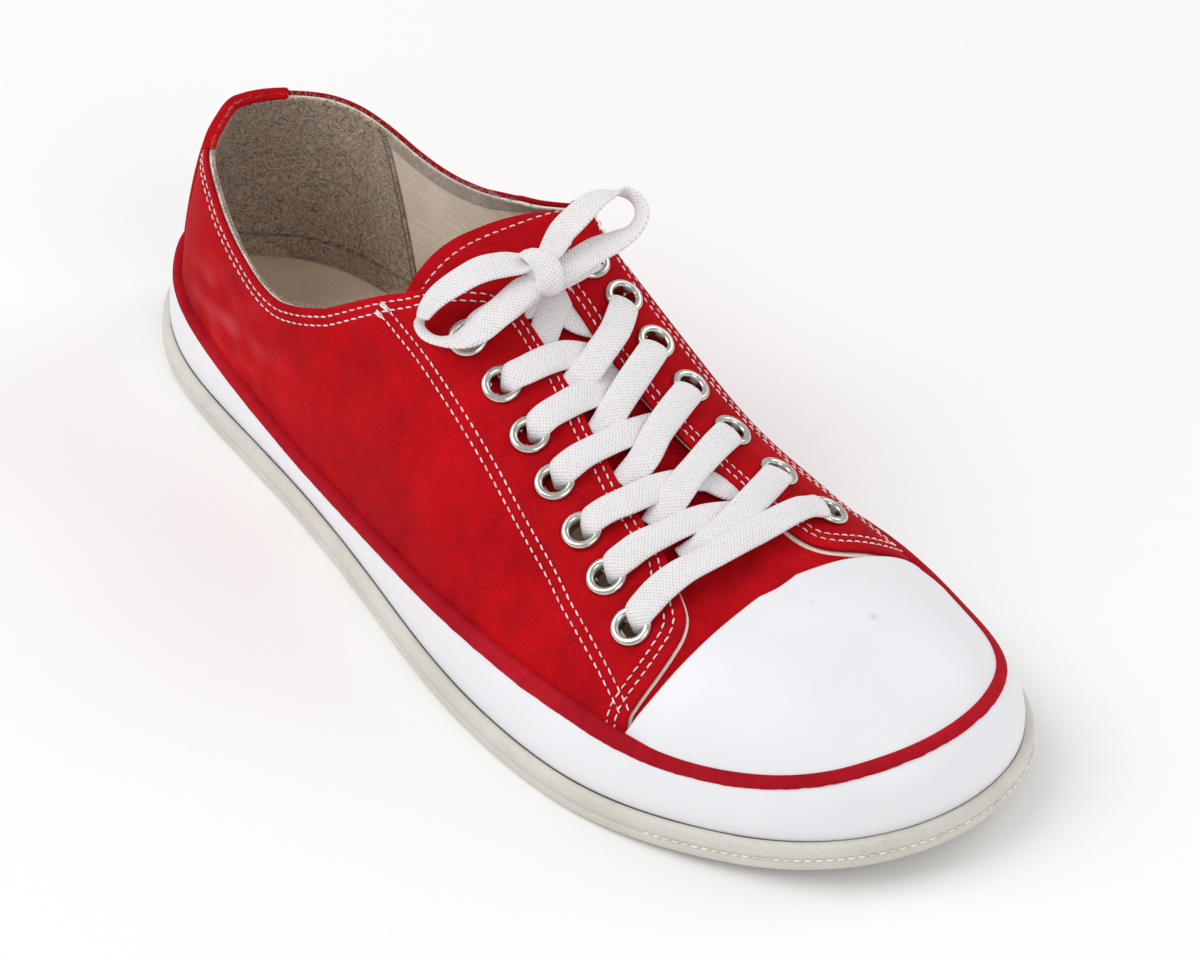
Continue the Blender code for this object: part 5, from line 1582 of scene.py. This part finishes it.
def build_frays(materials):
    """Short loose fibres along the lining's edge: bent hairs of three sides."""
    rng = np.random.default_rng(91)
    count = FRAYS
    at, height = EDGE
    here = last_points(at, height)
    collar = (np.arange(len(at)) > 0) & (here[:, 1] < 112.0)
    weights = collar * np.where(at > 0.0, 1.0, 0.55)
    chosen = rng.choice(len(at), count, p=weights / weights.sum())
    base = last_points(at[chosen], height[chosen], -1.4 - rng.uniform(0.0, 0.6, count))
    normal = last_normals(at[chosen], height[chosen])
    along = unit(np.gradient(here, axis=0))[chosen]
    up = unit(np.cross(normal, along))
    up = up * np.sign(up[:, 2:3])
    lean = rng.normal(0.0, 0.5, (count, 2))
    way = unit(up + along * lean[:, :1] + normal * lean[:, 1:] * 0.5)
    long = rng.uniform(0.5, 1.5, (count, 1, 1))
    t = np.array([-0.2, 0.4, 0.8, 1.0])[:, None]
    bend = rng.normal(0.0, 0.35, (count, 1, 3))
    spine = base[:, None] + way[:, None] * t * long + bend * t ** 2 * long * 0.4
    radius = np.array([0.07, 0.06, 0.045, 0.015])[:, None, None]
    turn = turns(3)[:, None]
    ring = np.cos(turn) * unit(np.cross(way, normal + 0.01))[:, None] + np.sin(turn) * normal[:, None]
    points = spine[:, :, None] + ring[:, None] * radius
    faces = copies(grid_faces(4, 3, False, True), count, 12)
    faces += copies([[2, 1, 0], [9, 10, 11]], count, 12)
    return new_mesh("lining_frays", points.reshape(-1, 3), faces, materials["lint"])


# ---- what a user may change --------------------------------------------------------------------------
class SneakerLeathers(bpy.types.PropertyGroup):
    """Colours of the leathers and textiles."""

    nubuck: bpy.props.FloatVectorProperty(
        name="Nubuck", description="Colour of the quarters",
        default=linear("#C40D19")[:3], subtype="COLOR", min=0.0, max=1.0)
    nubuck_deep: bpy.props.FloatVectorProperty(
        name="Nubuck shade", description="Darker clouds of the nubuck",
        default=linear("#A60812")[:3], subtype="COLOR", min=0.0, max=1.0)
    cap: bpy.props.FloatVectorProperty(
        name="Cap and foxing", description="White coated leather",
        default=linear("#F0F0F4")[:3], subtype="COLOR", min=0.0, max=1.0)
    rubber: bpy.props.FloatVectorProperty(
        name="Sole", description="Rubber of the sole",
        default=linear("#DAD6CD")[:3], subtype="COLOR", min=0.0, max=1.0)
    lining: bpy.props.FloatVectorProperty(
        name="Lining", description="Smooth lining leather",
        default=linear("#FCEFE0")[:3], subtype="COLOR", min=0.0, max=1.0)


class SneakerTrim(bpy.types.PropertyGroup):
    """Sizes of lace and stitches."""

    lace_width: bpy.props.FloatProperty(
        name="Lace width", description="Width of the flat lace",
        default=7.4 * MM, unit="LENGTH", precision=5)
    lace_thickness: bpy.props.FloatProperty(
        name="Lace thickness", description="Thickness of the lace",
        default=1.35 * MM, unit="LENGTH", precision=5)
    stitch_length: bpy.props.FloatProperty(
        name="Stitch", description="Length of a stitch that shows",
        default=1.65 * MM, unit="LENGTH", precision=5)
    stitch_gap: bpy.props.FloatProperty(
        name="Stitch gap", description="Leather between two stitches",
        default=0.68 * MM, unit="LENGTH", precision=5)


class SneakerStudio(bpy.types.PropertyGroup):
    """Camera and light."""

    lens: bpy.props.FloatProperty(
        name="Lens", description="Focal length", default=122.4, min=20.0, unit="CAMERA")
    floor: bpy.props.FloatVectorProperty(
        name="Floor", description="Colour of the floor",
        default=linear("#FCFCFC")[:3], subtype="COLOR", min=0.0, max=1.0)
    key: bpy.props.FloatProperty(
        name="Key light", description="Power of the main softbox", default=16.0, min=0.0, unit="POWER")


FLOOR_HALF = 4.0          # m
SKY_STRENGTH = 0.56       # of the white surroundings
CAMERA_PLACE = Vector((-0.4885, -0.5717, 0.6356))
CAMERA_AIM = Vector((0.0092, -0.0134, 0.026))

MATERIALS = {}
SEAMS = []


def ride_all(*pieces):
    """Let finished pieces move with the shoe."""
    for piece in pieces:
        if not piece.data.polygons:
            raise RuntimeError(f"{piece.name} has no faces")
        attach(piece, "root")


class SNEAKER_OT_finishes(bpy.types.Operator):
    """Make the materials."""

    bl_idname = "sneaker.finishes"
    bl_label = "Finishes"

    def execute(self, context):
        leathers = context.scene.sneaker_leathers
        MATERIALS["nubuck"] = nubuck("Nubuck sanded red", leathers.nubuck, leathers.nubuck_deep,
                                     "#8E0F1A")
        MATERIALS["nubuck_strip"] = nubuck("Nubuck piping red", "#B81A28", "#A01220", "#9A2430")
        MATERIALS["coated_leather"] = coated_leather("Leather coated white", leathers.cap, "#ECECF0")
        MATERIALS["rubber"] = moulded_rubber("Rubber moulded cream", leathers.rubber, "#CFCBC1")
        MATERIALS["lining"] = pigskin("Lining leather smooth", leathers.lining, "#EBDCCB")
        MATERIALS["sock"] = pigskin("Footbed leather smooth", "#F0DBC4", "#DAC5AE")
        MATERIALS["sole_thread"] = polyester_thread("Thread waxed pale", "#FAF8F3", "#DDD8CE")
        MATERIALS["suede"] = split_suede("Split suede rough", "#FFF4E4", "#EACCB2", "#93725A")
        MATERIALS["suede_pale"] = split_suede("Split suede pale", "#FFF3E6", "#F0DFCD", "#D2BFAB")
        MATERIALS["cotton"] = cotton_weave("Cotton lace woven", "#F4F1F2", "#BDB2B5")
        MATERIALS["thread"] = polyester_thread("Polyester thread white", "#F5E9EA", "#DDBFC2")
        MATERIALS["lint"] = polyester_thread("Leather fibres loose", "#D9CFC6", "#B5A698")
        MATERIALS["nickel"] = nickel_plate("Nickel plate tumbled", "#D6D3CB")
        SEAMS.extend(seam_lines())
        return {"FINISHED"}


class SNEAKER_OT_sole(bpy.types.Operator):
    """Make the rubber sole and the footbed."""

    bl_idname = "sneaker.sole"
    bl_label = "Sole and footbed"

    def execute(self, context):
        sole = build_outsole(MATERIALS)
        sock = build_insole(MATERIALS)
        ride_all(sole, sock)
        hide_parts("outsole")
        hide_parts("insole")
        return {"FINISHED"}


class SNEAKER_OT_quarters(bpy.types.Operator):
    """Make the quarters and the vamp."""

    bl_idname = "sneaker.quarters"
    bl_label = "Quarters and vamp"

    def execute(self, context):
        quarters = build_quarters(MATERIALS, SEAMS)
        vamp = build_vamp(MATERIALS)
        ride_all(quarters, vamp)
        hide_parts("upper")
        return {"FINISHED"}


class SNEAKER_OT_rand(bpy.types.Operator):
    """Make the toe cap, the foxing and the piping."""

    bl_idname = "sneaker.rand"
    bl_label = "Toe cap and rand"

    def execute(self, context):
        cap = build_toe_cap(MATERIALS)
        foxing, piping = build_rand(MATERIALS)
        ride_all(cap, foxing, piping)
        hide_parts("toe_cap")
        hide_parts("foxing")
        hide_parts("piping")
        return {"FINISHED"}


class SNEAKER_OT_tongue(bpy.types.Operator):
    """Make the tongue."""

    bl_idname = "sneaker.tongue"
    bl_label = "Tongue"

    def execute(self, context):
        tongue = build_tongue(MATERIALS)
        ride_all(tongue)
        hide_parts("tongue")
        return {"FINISHED"}


class SNEAKER_OT_linings(bpy.types.Operator):
    """Make the linings, the collar tape, the heel strip and the loose fibres."""

    bl_idname = "sneaker.linings"
    bl_label = "Linings and heel strip"

    def execute(self, context):
        pieces = [build_lining(MATERIALS), build_heel_lining(MATERIALS), build_frays(MATERIALS)]
        pieces += build_collar_tape(MATERIALS)
        strip = build_heel_strip(MATERIALS)
        ride_all(strip, *pieces)
        return {"FINISHED"}


class SNEAKER_OT_eyelets(bpy.types.Operator):
    """Make the eyelets."""

    bl_idname = "sneaker.eyelets"
    bl_label = "Eyelets"

    def execute(self, context):
        for node, piece in build_eyelets(MATERIALS):
            ride_all(piece)
            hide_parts(node)
        return {"FINISHED"}


class SNEAKER_OT_stitching(bpy.types.Operator):
    """Make the rows of stitches."""

    bl_idname = "sneaker.stitching"
    bl_label = "Stitching"

    def execute(self, context):
        pieces = build_stitching(MATERIALS, SEAMS, context.scene.sneaker_trim)
        ride_all(*pieces)
        return {"FINISHED"}


class SNEAKER_OT_lacing(bpy.types.Operator):
    """Make the crossings of the lace."""

    bl_idname = "sneaker.lacing"
    bl_label = "Lacing"

    def execute(self, context):
        pieces = build_lacing(MATERIALS, context.scene.sneaker_trim)
        ride_all(*pieces)
        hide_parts("lace_crossings")
        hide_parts("lace_top_crossing")
        return {"FINISHED"}


class SNEAKER_OT_bow(bpy.types.Operator):
    """Make the bow: two free lace ends and the knot."""

    bl_idname = "sneaker.bow"
    bl_label = "Bow"

    def execute(self, context):
        trim = context.scene.sneaker_trim
        knot, core, cords = build_bow(MATERIALS, trim)
        ride_all(knot, core, *[cord[0] for cord in cords])
        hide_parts("lace_knot")
        for (piece, line, exit_point, whole), side in zip(cords, ("lateral", "medial")):
            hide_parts(f"lace_loop_{side}", f"lace_strand_{side}")
        return {"FINISHED"}


class SNEAKER_OT_stage(bpy.types.Operator):
    """Make the floor, the lights and the camera."""

    bl_idname = "sneaker.stage"
    bl_label = "Stage"

    def execute(self, context):
        studio = context.scene.sneaker_studio
        material, tree, shader = start_material("Studio floor", Roughness=0.9, Specular_IOR_Level=0.1)
        shader.inputs["Base Color"].default_value = linear(studio.floor)
        mesh = bpy.data.meshes.new("studio_floor")
        corners = ((-1, -1), (1, -1), (1, 1), (-1, 1))
        points = [(x * FLOOR_HALF, y * FLOOR_HALF, 0.0) for x, y in corners]
        mesh.from_pydata(points, [], [(0, 1, 2, 3)])
        mesh.materials.append(material)
        floor = bpy.data.objects.new("studio_floor", mesh)
        context.scene.collection.objects.link(floor)

        world_light = bpy.data.worlds.new("Studio white")
        world_light.use_nodes = True
        sky = world_light.node_tree.nodes["Background"]
        sky.inputs["Color"].default_value = (1.0, 1.0, 1.0, 1.0)
        sky.inputs["Strength"].default_value = SKY_STRENGTH
        context.scene.world = world_light

        lamps = {
            "softbox_key": ((-1.0, 0.7, 1.5), 1.4, studio.key),
            "softbox_front": ((-0.3, -1.5, 1.2), 1.0, studio.key * 0.36),
            "softbox_right": ((1.4, -0.4, 1.1), 1.0, studio.key * 0.30),
        }
        for name, (place, size, power) in lamps.items():
            lamp = bpy.data.lights.new(name, "AREA")
            lamp.shape = "SQUARE"
            lamp.size = size
            lamp.energy = power
            source = bpy.data.objects.new(name, lamp)
            source.location = place
            source.rotation_euler = (-Vector(place)).to_track_quat("-Z", "Y").to_euler()
            context.scene.collection.objects.link(source)

        camera = bpy.data.cameras.new("catalogue_view")
        camera.lens = studio.lens
        camera.sensor_width = 36.0
        camera.dof.use_dof = False
        view = bpy.data.objects.new("catalogue_view", camera)
        view.location = CAMERA_PLACE
        view.rotation_euler = (CAMERA_AIM - CAMERA_PLACE).to_track_quat("-Z", "Y").to_euler()
        context.scene.collection.objects.link(view)
        context.scene.camera = view
        context.scene.view_settings.view_transform = "Standard"
        return {"FINISHED"}


OPERATORS = (SNEAKER_OT_finishes, SNEAKER_OT_stage, SNEAKER_OT_bow, SNEAKER_OT_lacing, SNEAKER_OT_sole,
             SNEAKER_OT_quarters, SNEAKER_OT_rand, SNEAKER_OT_tongue, SNEAKER_OT_linings,
             SNEAKER_OT_eyelets, SNEAKER_OT_stitching)


class SNEAKER_PT_panel(bpy.types.Panel):
    """Sneaker pieces and settings."""

    bl_idname = "SNEAKER_PT_panel"
    bl_label = "Barefoot Sneaker"
    bl_space_type = "VIEW_3D"
    bl_region_type = "UI"
    bl_category = "Sneaker"

    def draw(self, context):
        for group in ("sneaker_leathers", "sneaker_trim", "sneaker_studio"):
            settings = getattr(context.scene, group)
            box = self.layout.box()
            for label in settings.__annotations__:
                box.prop(settings, label)
        for operator in OPERATORS:
            self.layout.operator(operator.bl_idname)


GROUPS = {"sneaker_leathers": SneakerLeathers, "sneaker_trim": SneakerTrim,
          "sneaker_studio": SneakerStudio}
CLASSES = (*GROUPS.values(), *OPERATORS, SNEAKER_PT_panel)


def register():
    """Register the classes and hang the settings on the scene."""
    for item in CLASSES:
        bpy.utils.register_class(item)
    for label, group in GROUPS.items():
        setattr(bpy.types.Scene, label, bpy.props.PointerProperty(type=group))


def unregister():
    """Take the settings off the scene and unregister the classes."""
    for label in GROUPS:
        delattr(bpy.types.Scene, label)
    for item in reversed(CLASSES):
        bpy.utils.unregister_class(item)


def main():
    """Register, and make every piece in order."""
    register()
    for operator in OPERATORS:
        group, label = operator.bl_idname.split(".")
        getattr(getattr(bpy.ops, group), label)()


if __name__ == "__main__":
    main()
